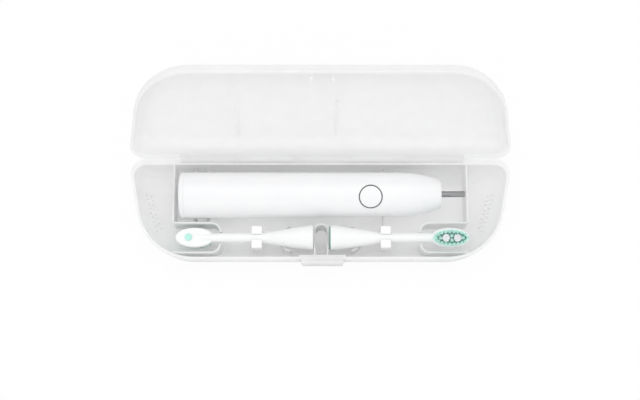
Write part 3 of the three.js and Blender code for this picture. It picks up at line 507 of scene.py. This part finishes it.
def pin_way(odd):
    """The bore kept open through the shell behind the knuckles"""
    return [moved(rounded_rod(start - FIT, end + FIT, PIN_BORE, 0.1, 24, 2), HINGE)
            for start, end in knuckle_spans(odd, -FIT / 2)]


# ---------------------------------------------------------------- base shell

WALL = 1
WALL_EDGE = 0.35
WALL_FOOT = 0.2
WALL_TOP = RIM - 0.6
POCKET_TOP = WALL_TOP - 1
RIB_HALF = 0.6
RIB_EDGE = 0.25
RIB_TOP = RIM - 9
TAIL_RIBS = (-78.6, -70.6)
NOSE_RIB = 39.6
# The bay's end walls stand at this distance to both sides, and the pockets and the divider are given by distances
# in front of the hinge
BAY_WALL = 91.1
POCKET_REAR = 40.2
POCKET_FRONT = 58.8
POCKET_TURN = 67.5
MOUTH_REAR = 46
MOUTH_FRONT = 53.2
DIVIDER = (-4, 4.9)
DIVIDER_REAR = 40.7
REST_RADIUS = 8.2
REST_BORE = 7.3
REST_OPENING = 0.8
CONE_RESTS = (-17.7, 18)
VENT_RADIUS = 0.6
VENT_SHIFT = -0.55
VENT_BOW = 0.6
# Each row's first hole, its last one, both as x and distance, and how many holes it has
VENT_ROWS = (((109.2, 20.4), (102, 43.2), 9), ((106.55, 20.6), (100.3, 41), 8))


def base_body():
    """The base without its fittings: a bowl, its rim and the room inside"""
    outer = bowl_levels(RIM, FLUSH, BASE_SWEEP, BASE_FRONT, BASE_REAR)
    inner = bowl_levels(RIM - FLOOR, BASE_RIM, BASE_SWEEP, BASE_FRONT - FLOOR, BASE_REAR - FLOOR)
    levels = [(outline, RIM - depth) for outline, depth in reversed(outer[1:])]
    levels += rim_levels(BASE_RIM, RIM, 1)
    levels += [(outline, RIM - depth) for outline, depth in inner[1:]]
    return loft(levels)


def base_core():
    """The room that the fittings may fill: they end inside the shell's wall"""
    skin = 1
    inner = bowl_levels(RIM - skin, (skin, skin, skin), BASE_SWEEP, BASE_FRONT - skin, BASE_REAR - skin)
    return loft([(outline, RIM - depth) for outline, depth in reversed(inner)])


def wall(line, top):
    """An upright wall on a line, with its top edge rounded"""
    return prism(wall_outline(line, WALL), WALL_FOOT, top, WALL_EDGE)


def pocket_walls(side):
    """The two walls round a brush head, open towards its neck"""
    rear_turn = arc(ahead(POCKET_TURN, MOUTH_REAR), MOUTH_REAR - POCKET_REAR, QUARTER, math.pi, 12)
    front_turn = arc(ahead(POCKET_TURN, MOUTH_FRONT), POCKET_FRONT - MOUTH_FRONT, -QUARTER, -math.pi, 12)
    lines = ([ahead(BAY_WALL, POCKET_REAR)] + rear_turn, [ahead(BAY_WALL, POCKET_FRONT)] + front_turn)
    return [wall([(side * x, y) for x, y in line], POCKET_TOP) for line in lines]


def bay_wall(side):
    """The wall at one end of the handle's bay"""
    return wall([ahead(side * BAY_WALL, 0), ahead(side * BAY_WALL, POCKET_REAR)], WALL_TOP)


def divider_wall():
    """The wall of the channel between the cones: an arch in plan, open to the front"""
    radius = (DIVIDER[1] - DIVIDER[0] - WALL) / 2
    middle = (DIVIDER[0] + DIVIDER[1]) / 2
    turn = arc(ahead(middle, DIVIDER_REAR + WALL / 2 + radius), radius, 0, math.pi, 20)
    line = [ahead(middle + radius, CASE_DEPTH)] + turn + [ahead(middle - radius, CASE_DEPTH)]
    return wall(line, WALL_TOP)


def handle_radius(place):
    """The handle's radius at a distance from its tail: straight to the shoulder, then curved in to the nose"""
    tail, waist, nose, power = 14.65, 13.8, 8.6, 3
    if place <= HANDLE_SHOULDER:
        return tail + (waist - tail) * place / HANDLE_SHOULDER
    along = (place - HANDLE_SHOULDER) / (HANDLE_LENGTH - HANDLE_SHOULDER)
    return waist - (waist - nose) * along ** power


def cradle_rib(x, end):
    """A rib across the bay with a round seat for the handle"""
    rib = piece_from("rib", block_ahead((x - RIB_HALF, x + RIB_HALF), (0, end), (WALL_FOOT, RIB_TOP), RIB_EDGE))
    reach = 2
    room = handle_radius(x - HANDLE_PLACE[0]) + FIT
    seat = lathe([(x - reach, 0), (x - reach, room), (x + reach, room), (x + reach, 0)], 96)
    drift = math.sin(HANDLE_TURN) * (x - HANDLE_PLACE[0])
    across = REAR - HANDLE_PLACE[1] + drift * math.cos(HANDLE_ROLL)
    up = HANDLE_Z + drift * math.sin(HANDLE_ROLL)
    combine(rib, "DIFFERENCE", [moved(seat, Matrix.Translation((0, across, up)))])
    return shape_of(rib)


BAND = 1
# Pairs of a place from the cone's mouth and the radius there
STEM = [(BAND + FIT, 8), (16, 5.7), (24, 4.4), (31, 3.2), (64, 2.8), (73.2, 1.96)]


def cone_rest(x):
    """A half round wall under a cone, with its top cut where the cone lies"""
    y = REAR - HEAD_AHEAD
    top = HEAD_Z - 1
    rest = piece_from("rest", post(x, y, REST_RADIUS, WALL_FOOT, top, 64, RIB_EDGE))
    side = math.copysign(1, x)
    place = HEAD_PLACES["left" if side < 0 else "right"]
    room = [(place + side * along, radius + FIT) for along, radius in STEM]
    cone = moved(lathe([(room[0][0], 0)] + room + [(room[-1][0], 0)], 64), Matrix.Translation((0, y, HEAD_Z)))
    past = REST_RADIUS + OVERRUN
    half = block(sorted((x + side * REST_OPENING, x - side * past)), (y - past, y + past), (0, top + OVERRUN))
    combine(rest, "DIFFERENCE", [post(x, y, REST_BORE, 0, top + OVERRUN, 64), cone, half])
    return shape_of(rest)


def vent_row(start, end, count, side):
    """Upright holes on a line that bows outwards"""
    holes = []
    for i in range(count):
        share = i / (count - 1)
        x = start[0] + (end[0] - start[0]) * share + VENT_BOW * math.sin(math.pi * share)
        distance = start[1] + (end[1] - start[1]) * share
        holes.append(post(side * x + VENT_SHIFT, REAR - distance, VENT_RADIUS, -OVERRUN, RIM, 16))
    return holes


def vents():
    """The air holes at both ends, in one body"""
    holes = bmesh.new()
    for side in (1, -1):
        for row in VENT_ROWS:
            for hole in vent_row(*row, side):
                take_in(holes, hole)
    return holes


CLIP_PLACES = {"left": -39.2, "right": 40.3}
CLIP_HALF = 6.9
LATCH = (-11.9, 14.4)
LATCH_FACE = CASE_DEPTH + 2.7
LATCH_TOP = RIM - 0.5
LATCH_HEIGHT = 9
CATCH_PLACES = (-5.5, 7.5)
CATCH_WIDTH = 2.1
CATCH_WALL = 1.2
CATCH_INSET = 3.5
CATCH_LOW = RIM - 5
BARB_HEIGHT = 1.6
BARB_REACH = 1.4
RECESS = 1.9
RECESS_TOP = RIM - 0.38
BACKING = 2.9
BACKING_TOP = RIM - 0.36


def latch_backing():
    """The front wall is thicker behind the latch"""
    bottom = LATCH_TOP - LATCH_HEIGHT - FIT - WALL
    spread = (LATCH[0] - FIT - WALL, LATCH[1] + FIT + WALL)
    return block_ahead(spread, (CASE_DEPTH - BACKING, CASE_DEPTH), (bottom, BACKING_TOP))


def latch_recess():
    """A recess under the rim for the tab, with a window for each catch"""
    bottom = LATCH_TOP - LATCH_HEIGHT - FIT
    recess = block_ahead((LATCH[0] - FIT, LATCH[1] + FIT), (CASE_DEPTH - RECESS, CASE_DEPTH + OVERRUN),
                         (bottom, RECESS_TOP), 0.1)
    windows = [block_ahead((x - CATCH_WIDTH / 2 - FIT, x + CATCH_WIDTH / 2 + FIT),
                           (CASE_DEPTH - BACKING - OVERRUN, CASE_DEPTH),
                           (CATCH_LOW - FIT, CATCH_LOW + BARB_HEIGHT + FIT)) for x in CATCH_PLACES]
    return [recess] + windows


def build_base():
    """The base shell: its fittings are cut to the room inside, then joined to the bowl"""
    fittings = [latch_backing(), bay_wall(1), bay_wall(-1), *pocket_walls(1), *pocket_walls(-1), divider_wall(),
                *(cradle_rib(x, POCKET_REAR) for x in TAIL_RIBS),
                cradle_rib(NOSE_RIB, HEAD_AHEAD - CLIP_HALF - FIT), *(cone_rest(x) for x in CONE_RESTS)]
    room = piece_from("room", fittings[0])
    combine(room, "UNION", fittings[1:])
    combine(room, "INTERSECT", [base_core()])
    shell = piece_from("case_base", base_body())
    combine(shell, "UNION", [shape_of(room)])
    combine(shell, "DIFFERENCE", knuckle_notches(1) + latch_recess() + [vents()])
    combine(shell, "DIFFERENCE", pin_way(0))
    combine(shell, "UNION", knuckles(0))
    finished(shell, "base", ["base_shell"], case_finish, 32)


# ---------------------------------------------------------------- lid shell

LID_RIBS = (-51.5, 10)
LID_RIB_SPAN = (10, 36)
LID_RIB_DEPTH = 1.5
CATCH_TOP = RIM + 7


def lid_body():
    """The lid closed: an upright band above the rim, then a shallow bowl"""
    height = LID_HEIGHT - LID_SIDE
    outer = bowl_levels(height, FLUSH, LID_SWEEP, LID_FRONT, LID_REAR)
    inner = bowl_levels(height - LID_WALL, LID_RIM, LID_SWEEP, LID_FRONT - LID_WALL, LID_REAR - LID_WALL)
    levels = [(outline, RIM + LID_SIDE + depth) for outline, depth in reversed(outer)]
    levels += rim_levels(LID_RIM, RIM + FIT, -1)
    levels += [(outline, RIM + LID_SIDE + depth) for outline, depth in inner]
    return loft(levels)


def lid_catch(x):
    """A catch of the lid: its root on the front wall, its stem and its barb"""
    xs = (x - CATCH_WIDTH / 2, x + CATCH_WIDTH / 2)
    inside = CASE_DEPTH - CATCH_INSET - CATCH_WALL
    root = block_ahead(xs, (inside, CASE_DEPTH - LID_RIM[1] / 2), (RIM + FIT * 2, CATCH_TOP), 0.25)
    stem = block_ahead(xs, (inside, inside + CATCH_WALL), (CATCH_LOW, CATCH_TOP), 0.2)
    barb = block_ahead(xs, (inside, inside + CATCH_WALL + BARB_REACH), (CATCH_LOW, CATCH_LOW + BARB_HEIGHT), 0.2)
    return [root, stem, barb]


def build_lid():
    """The lid shell, made closed and then swung open"""
    top = RIM + LID_HEIGHT
    heights = (top - LID_WALL - LID_RIB_DEPTH, top - LID_WALL / 2)
    ribs = [block_ahead((x - RIB_HALF, x + RIB_HALF), LID_RIB_SPAN, heights, 0.3) for x in LID_RIBS]
    lid = piece_from("case_lid", lid_body())
    catches = [shape for x in CATCH_PLACES for shape in lid_catch(x)]
    combine(lid, "UNION", ribs + catches)
    combine(lid, "DIFFERENCE", knuckle_notches(0))
    combine(lid, "DIFFERENCE", pin_way(1))
    combine(lid, "UNION", knuckles(1))
    swing = HINGE @ Matrix.Rotation(-LID_OPENING, 4, "X") @ HINGE.inverted()
    lid.data.transform(swing)
    finished(lid, "lid", ["lid_shell"], case_finish, 32)


# ---------------------------------------------------------------- latch and clips


def build_latch():
    """The latch tab: a box open at the back, with a boss behind it for each catch"""
    back = CASE_DEPTH - 0.4
    taper, side_wall, skin, edge = 0.6, 1.8, 1.2, 0.7
    outline = [ahead(LATCH[0], back), ahead(LATCH[0], CASE_DEPTH), ahead(LATCH[0] + taper, LATCH_FACE),
               ahead(LATCH[1] - taper, LATCH_FACE), ahead(LATCH[1], CASE_DEPTH), ahead(LATCH[1], back)]
    body = prism(outline, LATCH_TOP - LATCH_HEIGHT, LATCH_TOP)
    front = [e for e in body.edges if all(v.co.y < REAR - CASE_DEPTH - 0.01 for v in e.verts)]
    rounded(body, front, edge, 4)
    latch = piece_from("latch_tab", body)
    hollow = block_ahead((LATCH[0] + side_wall, LATCH[1] - side_wall), (back - OVERRUN, LATCH_FACE - skin),
                         (LATCH_TOP - LATCH_HEIGHT + skin, LATCH_TOP - skin), 0.2)
    combine(latch, "DIFFERENCE", [hollow])
    tip = CASE_DEPTH - CATCH_INSET + BARB_REACH + CATCH_WALL + FIT
    bosses = [block_ahead((x - CATCH_WIDTH / 2, x + CATCH_WIDTH / 2), (tip, LATCH_FACE - skin / 2),
                          (CATCH_LOW, CATCH_LOW + BARB_HEIGHT), 0.15) for x in CATCH_PLACES]
    combine(latch, "UNION", bosses)
    finished(latch, "latch", ["latch_button"], case_finish, 40)


def build_clip(side, x):
    """A clip block on its foot, with a round seat and a narrower mouth"""
    reach, foot_half, mouth, bore = 3.2, 2.4, 3.6, 3.5
    top, foot_top = WALL_TOP, FLOOR + 6
    past = reach + 2.8
    y = REAR - HEAD_AHEAD
    xs = (x - reach, x + reach)
    clip = piece_from(f"clip_block_{side}", block(xs, (y - CLIP_HALF, y + CLIP_HALF), (foot_top, top), 0.6, 4))
    foot = block(xs, (y - foot_half, y + foot_half), (FLOOR + FIT, foot_top + OVERRUN), 0.2)
    combine(clip, "UNION", [foot])
    seat = lathe([(x - past, 0), (x - past, bore), (x + past, bore), (x + past, 0)], 48)
    moved(seat, Matrix.Translation((0, y, HEAD_Z)))
    way = block((x - past, x + past), (y - mouth / 2, y + mouth / 2), (HEAD_Z, top + OVERRUN))
    combine(clip, "DIFFERENCE", [seat, way])
    finished(clip, "base", [f"neck_clip_{side}"], clip_finish, 35)


# ---------------------------------------------------------------- handle

# From the handle's own frame, its tail at nought and its length along X, to its place in the bay
IN_BAY = (Matrix.Translation((HANDLE_PLACE[0], REAR - HANDLE_PLACE[1], HANDLE_Z))
          @ Matrix.Rotation(HANDLE_ROLL, 4, "X") @ Matrix.Rotation(HANDLE_TURN, 4, "Z"))
TAIL_CAP = 3
SHAFT_BORE = 3.55
RING_WIDTH = 0.45


def handle_side(start, skin, steps=26):
    """The handle's outline from a place to its nose, drawn in by a skin"""
    end = HANDLE_LENGTH - skin
    pairs = [(start, handle_radius(start) - skin)]
    pairs += [(p, handle_radius(p) - skin)
              for p in (HANDLE_SHOULDER + (end - HANDLE_SHOULDER) * i / steps for i in range(steps + 1))]
    return pairs


def build_handle():
    """The hollow housing, with a bore for the shaft and a round hole for the button"""
    seam, edge, bevel, thickness = 0.05, 0.8, 0.3, 1.6
    start = TAIL_CAP + seam
    side = handle_side(start, 0)
    nose = side[-1][1]
    side = [pair for pair in side if pair[0] < HANDLE_LENGTH - edge]
    side[0] = (start + seam, side[0][1])
    rounding = [(HANDLE_LENGTH - edge + edge * math.sin(a), nose - edge + edge * math.cos(a) + 0.15)
                for a in (QUARTER / 4, QUARTER / 2, QUARTER * 3 / 4)]
    inside = handle_side(start, thickness)[::-1]
    profile = [(start, side[0][1] - seam)] + side + rounding
    profile += [(HANDLE_LENGTH, nose - edge), (HANDLE_LENGTH, SHAFT_BORE + bevel)]
    profile += [(HANDLE_LENGTH - bevel, SHAFT_BORE), (inside[0][0], SHAFT_BORE)] + inside
    housing = piece_from("handle_body", lathe(profile, 128, ring=True))
    combine(housing, "DIFFERENCE", [post(BUTTON_PLACE, 0, BUTTON_RADIUS + RING_WIDTH + 0.15, 2, 20, 96)])
    housing.data.transform(IN_BAY)
    finished(housing, "handle", ["handle_housing"], handle_finish, 35)


def build_tail_cap():
    """The cap at the handle's tail, with a rounded edge and a hollow plug"""
    round_edge, seam, bevel = 2, 0.05, 0.4
    tail = handle_radius(0)
    plug, end, bore = 10.9, TAIL_CAP + 5, 9.9
    profile = [(0, 0)]
    profile += [(round_edge * (1 - math.sin(a)), tail - round_edge * (1 - math.cos(a)))
                for a in [QUARTER * (1 - i / 8) for i in range(9)]]
    profile += [(TAIL_CAP - seam, tail), (TAIL_CAP, tail - seam), (TAIL_CAP, plug), (end - bevel, plug),
                (end, plug - bevel), (end, bore), (TAIL_CAP, bore), (TAIL_CAP, 0)]
    cap = piece_from("handle_tail", lathe(profile, 128))
    cap.data.transform(IN_BAY)
    finished(cap, "handle", ["tail_cap"], handle_finish, 35)


def build_button():
    """The button's face follows the housing, a hair below it, inside its ring"""
    face_sink, ring_sink, gap = 0.05, 0.12, 0.15
    full = [(0, 0)] + handle_side(0, face_sink) + [(HANDLE_LENGTH, 0)]
    button = piece_from("power_key_face", post(BUTTON_PLACE, 0, BUTTON_RADIUS - gap, 10.85, 13.9, 96))
    combine(button, "INTERSECT", [lathe(full, 128)])
    button.data.transform(IN_BAY)
    finished(button, "power_key", ["power_button"], handle_finish, 35)
    ring = piece_from("power_key_ring", post(BUTTON_PLACE, 0, BUTTON_RADIUS + RING_WIDTH, 11.75, 14.6, 96))
    low = [(0, 0)] + handle_side(0, ring_sink) + [(HANDLE_LENGTH, 0)]
    combine(ring, "DIFFERENCE", [post(BUTTON_PLACE, 0, BUTTON_RADIUS, 10, 16, 96)])
    combine(ring, "INTERSECT", [lathe(low, 128)])
    ring.data.transform(IN_BAY)
    finished(ring, "handle", ["button_ring"], ring_finish, 35)


def build_shaft():
    """The drive shaft: a groove after its collar, a turned line near its end and a flat along its tip"""
    start = 153.3
    end = HANDLE_LENGTH + 15.2
    collar = HANDLE_LENGTH + 3.6
    line = end - 0.9
    thick, thin, edge, groove = 1.9, 1.85, 0.3, 0.35
    groove_radius, line_radius, flat_length, flat_height = 1.6, 1.65, 9, 1.4
    profile = [(start, 0), (start, thick - edge), (start + edge, thick), (collar, thick), (collar, groove_radius),
               (collar + groove, groove_radius), (collar + groove, thin), (line, thin), (line, line_radius),
               (line + edge, line_radius), (line + edge, thin), (end - edge, thin), (end, thin - edge), (end, 0)]
    shaft = piece_from("drive_spindle", lathe(profile, 48))
    past = thick + OVERRUN
    flat = block((end - flat_length, end + OVERRUN), (-past, past), (flat_height, past))
    combine(shaft, "DIFFERENCE", [flat])
    shaft.data.transform(IN_BAY)
    finished(shaft, "shaft", ["drive_shaft"], shaft_finish, 30)


# ---------------------------------------------------------------- brush heads

HEAD_CENTRE = 73.2
HEAD_HALF = (11.9, 6.2)
HEAD_THICK = 4
HEAD_EDGES = (0.9, 1.1)
# The mint field stands on the plate's bristle side, this much above it, on the foot that holds the white tufts
MINT_FOOT = 0.9


def head_place(side):
    """From a head's own frame, its mouth at nought and its bristles up, to its place in the case"""
    place = Matrix.Translation((HEAD_PLACES[side], REAR - HEAD_AHEAD, HEAD_Z))
    return place @ (Matrix.Rotation(math.pi, 4, "Y") if side == "left" else Matrix.Rotation(HEAD_ROLL, 4, "X"))


def oval(half_length, half_width, sides=72):
    """The outline of an oval round the head's centre"""
    return [(HEAD_CENTRE + half_length * math.cos(TURN * i / sides), half_width * math.sin(TURN * i / sides))
            for i in range(sides)]


def smooth_profile(points, steps):
    """Points on a curve through the given pairs of place and radius"""
    out = []
    last = len(points) - 1
    for i in range(last):
        before, a, b, after = points[max(i - 1, 0)], points[i], points[i + 1], points[min(i + 2, last)]
        span = b[0] - a[0]
        slope_a = (b[1] - before[1]) / (b[0] - before[0])
        slope_b = (after[1] - a[1]) / (after[0] - a[0])
        for k in range(steps):
            t = k / steps
            out.append((
                a[0] + span * t,
                (2 * t ** 3 - 3 * t ** 2 + 1) * a[1] + (t ** 3 - 2 * t ** 2 + t) * span * slope_a
                + (3 * t ** 2 - 2 * t ** 3) * b[1] + (t ** 3 - t ** 2) * span * slope_b,
            ))
    return out + [points[-1]]


SOCKET_BORE = 3.55
SOCKET_END = 22
BAND_BORE = 5.2
BAND_RADIUS = 7.1
BAND_START = {"left": 0.4, "right": -1.5}
MOUTH = {"left": 0.05, "right": -0.7}


def build_stem(side):
    """Cone, neck and plate, with a seat for the band in the mouth of the cone"""
    mouth, edge, room = MOUTH[side], 0.15, BAND_RADIUS + 0.1
    profile = [(BAND, SOCKET_BORE), (BAND, room), (mouth, room), (mouth, STEM[0][1] - edge)]
    profile += [(mouth + edge, STEM[0][1])] + smooth_profile(STEM, 8)
    profile += [(HEAD_CENTRE, 0), (SOCKET_END, 0), (SOCKET_END, SOCKET_BORE)]
    stem = piece_from(f"head_body_{side}", lathe(profile, 64, ring=True))
    half = HEAD_THICK / 2
    plate = prism(oval(*HEAD_HALF), -half, half, *HEAD_EDGES)
    combine(stem, "UNION", [plate])
    stem.data.transform(head_place(side))
    finished(stem, f"{side}_head", [f"head_stem_{side}"], head_finish, 40)


def build_cone_ring(side):
    """The band in the mouth of the cone"""
    edge, start, end = 0.2, BAND_START[side], BAND - 0.05
    profile = [(start + edge, BAND_BORE), (start, BAND_BORE + edge), (start, BAND_RADIUS - edge),
               (start + edge, BAND_RADIUS), (end, BAND_RADIUS), (end, BAND_BORE)]
    ring = piece_from(f"cone_band_{side}", lathe(profile, 64, ring=True))
    ring.data.transform(head_place(side))
    finished(ring, f"{side}_head", [f"cone_ring_{side}"], band_painted_shade_finish, 40)


def build_dot(side):
    """The coloured dot on the back of a head, its rounded edge outwards"""
    half, radius, beyond = 0.25, 2.3, 3.7
    back = -HEAD_THICK / 2 - FIT / 2
    dot = post(HEAD_CENTRE + beyond, 0, radius, -half, half, 48, 0.2)
    moved(dot, Matrix.Translation((0, 0, back - half)) @ Matrix.Diagonal((1, 1, -1, 1)))
    bmesh.ops.recalc_face_normals(dot, faces=dot.faces)
    piece = piece_from(f"head_dot_{side}", dot)
    piece.data.transform(head_place(side))
    finished(piece, f"{side}_head", [f"colour_dot_{side}"], mint_finish, 40)


WHITE_TUFTS = (-3.5, 3.5)
WHITE_RADIUS = 2.2
WHITE_PITCH = 0.215
WHITE_REACH = 8.35
MINT_RADIUS = 1
MINT_PITCH = 0.23
MINT_REACH = 7.95
FIELD_HALF = (9.7, 3.95)
FOOT_HALF = (10.7, 5.2)
EDGE_TUFTS = 18
INNER_TUFTS = [(0, 1.3), (0, -1.3), (6.9, 0), (-6.9, 0)]
FILAMENT = 0.13
# In a triangular grid the rows lie closer than the filaments of a row by this share
ROW_SHARE = 0.866


def filament(made, x, y, bottom, top, lean):
    """One bristle: five sides, a little narrower at its tip, which leans out"""
    place = Matrix.Translation((HEAD_CENTRE + x, y, (bottom + top) / 2))
    drawn = bmesh.ops.create_cone(
        made, cap_ends=True, segments=5, radius1=FILAMENT, radius2=FILAMENT * 0.9, depth=top - bottom, matrix=place
    )["verts"]
    for vert in drawn:
        if vert.co.z > (bottom + top) / 2:
            vert.co.x += lean[0]
            vert.co.y += lean[1]


def tuft_places():
    """Tufts evenly spaced round the edge of the field, two between the white tufts and one at each far side"""
    steps = 720
    points = []
    for i in range(steps + 1):
        angle = TURN * i / steps
        points.append(Vector((FIELD_HALF[0] * math.cos(angle), FIELD_HALF[1] * math.sin(angle))))
    gaps = [(points[i + 1] - points[i]).length for i in range(steps)]
    share, travelled, places = sum(gaps) / EDGE_TUFTS, 0, []
    for point, gap in zip(points, gaps):
        if travelled >= share * len(places):
            places.append(tuple(point))
        travelled += gap
    return places + INNER_TUFTS


def round_tuft(made, centre, radius, pitch, bottom, top, dice, dome, splay):
    """Bristles on a triangular grid inside a circle, lower towards its edge by dome and leaning out by splay"""
    rows = int(radius / (pitch * ROW_SHARE)) + 1
    for row in range(-rows, rows + 1):
        for column in range(-rows, rows + 1):
            x, y = pitch * (column + (row % 2) / 2), pitch * ROW_SHARE * row
            reach = math.hypot(x, y)
            if reach > radius:
                continue
            x += dice.uniform(-0.04, 0.04)
            y += dice.uniform(-0.04, 0.04)
            tip = top - dome * (reach / radius) ** 2 + dice.uniform(-0.12, 0.05)
            filament(made, centre[0] + x, centre[1] + y, bottom, tip, (x * splay, y * splay))


def build_bristles(side):
    """The mint field and the two white tufts in it, each on a low foot of its own"""
    dice = random.Random(7 if side == "left" else 11)
    foot = HEAD_THICK / 2 + MINT_FOOT
    mint = prism(oval(FIELD_HALF[0] + MINT_RADIUS, FIELD_HALF[1] + MINT_RADIUS), foot, foot + 2.2, 0.4)
    for place in tuft_places():
        round_tuft(mint, place, MINT_RADIUS, MINT_PITCH, foot + 0.5, foot + MINT_REACH, dice, 0.3, 0.05)
    piece = piece_from(f"mint_tufts_{side}", mint)
    piece.data.transform(head_place(side))
    finished(piece, f"{side}_head", [f"mint_bristles_{side}"], mint_nylon, 50)
    low = HEAD_THICK / 2 + FIT / 2
    white = prism(oval(*FOOT_HALF), low, low + 0.6, 0.15)
    for x in WHITE_TUFTS:
        take_in(white, post(HEAD_CENTRE + x, 0, WHITE_RADIUS + 0.1, low + 0.3, low + 1.7, 32))
        round_tuft(white, (x, 0), WHITE_RADIUS, WHITE_PITCH, low + 1.3, foot + WHITE_REACH, dice, 0.3, 0.03)
    piece = piece_from(f"white_field_{side}", white)
    piece.data.transform(head_place(side))
    finished(piece, f"{side}_head", [f"white_tufts_{side}"], white_nylon, 50)


build_base()
build_lid()
build_latch()
for hand, across in CLIP_PLACES.items():
    build_clip(hand, across)
build_handle()
build_tail_cap()
build_button()
build_shaft()
for head in HEAD_PLACES:
    build_stem(head)
    build_cone_ring(head)
    build_dot(head)
    build_bristles(head)

# ---------------------------------------------------------------- floor and light


def seen_white(tree):
    """One where the camera, a mirror or a glass looks, and nought for the light that falls on the case"""
    path = add(tree, "ShaderNodeLightPath", {})
    mirror = add(tree, "ShaderNodeMath", {"operation": "MAXIMUM"})
    tree.links.new(path.outputs["Is Camera Ray"], mirror.inputs[0])
    tree.links.new(path.outputs["Is Glossy Ray"], mirror.inputs[1])
    seen = add(tree, "ShaderNodeMath", {"operation": "MAXIMUM"})
    tree.links.new(mirror.outputs["Value"], seen.inputs[0])
    tree.links.new(path.outputs["Is Transmission Ray"], seen.inputs[1])
    return seen.outputs["Value"]


FLOOR_HALF = 1800
FLOOR_GLOW = 0.93
SKY_LIGHT = 0.94
CASE_MIDDLE = Vector((0, 0, 0.02))

floor_shape = bmesh.new()
bmesh.ops.create_grid(floor_shape, x_segments=8, y_segments=8, size=FLOOR_HALF)
floor = piece_from("floor", floor_shape)
floor.data.transform(Matrix.Scale(METRE, 4))
floor_finish = bpy.data.materials.new("white studio floor")
floor_finish.use_nodes = True
tree = floor_finish.node_tree
shader = tree.nodes["Principled BSDF"]
shader.inputs["Base Color"].default_value = linear("#f2f2f2")
shader.inputs["Roughness"].default_value = 0.9
shader.inputs["Specular IOR Level"].default_value = 0
glow = add(tree, "ShaderNodeEmission", {"Color": linear("#ffffff"), "Strength": 1})
share = add(tree, "ShaderNodeMath", {"operation": "MULTIPLY"})
tree.links.new(seen_white(tree), share.inputs[0])
share.inputs[1].default_value = FLOOR_GLOW
mix = add(tree, "ShaderNodeMixShader", {}, {"Fac": share.outputs["Value"]})
tree.links.new(shader.outputs["BSDF"], mix.inputs[1])
tree.links.new(glow.outputs["Emission"], mix.inputs[2])
tree.links.new(mix.outputs["Shader"], tree.nodes["Material Output"].inputs["Surface"])
floor.data.materials.append(floor_finish)

world = bpy.data.worlds.new("studio")
world.use_nodes = True
bpy.context.scene.world = world
tree = world.node_tree
sky = tree.nodes["Background"]
sky.inputs["Color"].default_value = linear("#ffffff")
sky.inputs["Strength"].default_value = SKY_LIGHT
backdrop = add(tree, "ShaderNodeBackground", {"Color": linear("#ffffff"), "Strength": 1})
mix = add(tree, "ShaderNodeMixShader", {}, {"Fac": seen_white(tree)})
tree.links.new(sky.outputs["Background"], mix.inputs[1])
tree.links.new(backdrop.outputs["Background"], mix.inputs[2])
tree.links.new(mix.outputs["Shader"], tree.nodes["World Output"].inputs["Surface"])


def lamp(name, place, size, power):
    """A white lamp of an area, turned towards the case"""
    data = bpy.data.lights.new(name, "AREA")
    data.shape = "RECTANGLE"
    data.size, data.size_y = size
    data.energy = power
    light = bpy.data.objects.new(name, data)
    light.location = place
    light.rotation_euler = (CASE_MIDDLE - Vector(place)).to_track_quat("-Z", "Y").to_euler()
    bpy.context.scene.collection.objects.link(light)


lamp("overhead softbox", (0.05, 0.2, 1.05), (1.0, 0.8), 1.85)
lamp("front fill", (-0.3, -0.7, 0.7), (0.8, 0.6), 0.4)

bpy.context.scene.view_settings.view_transform = "Standard"
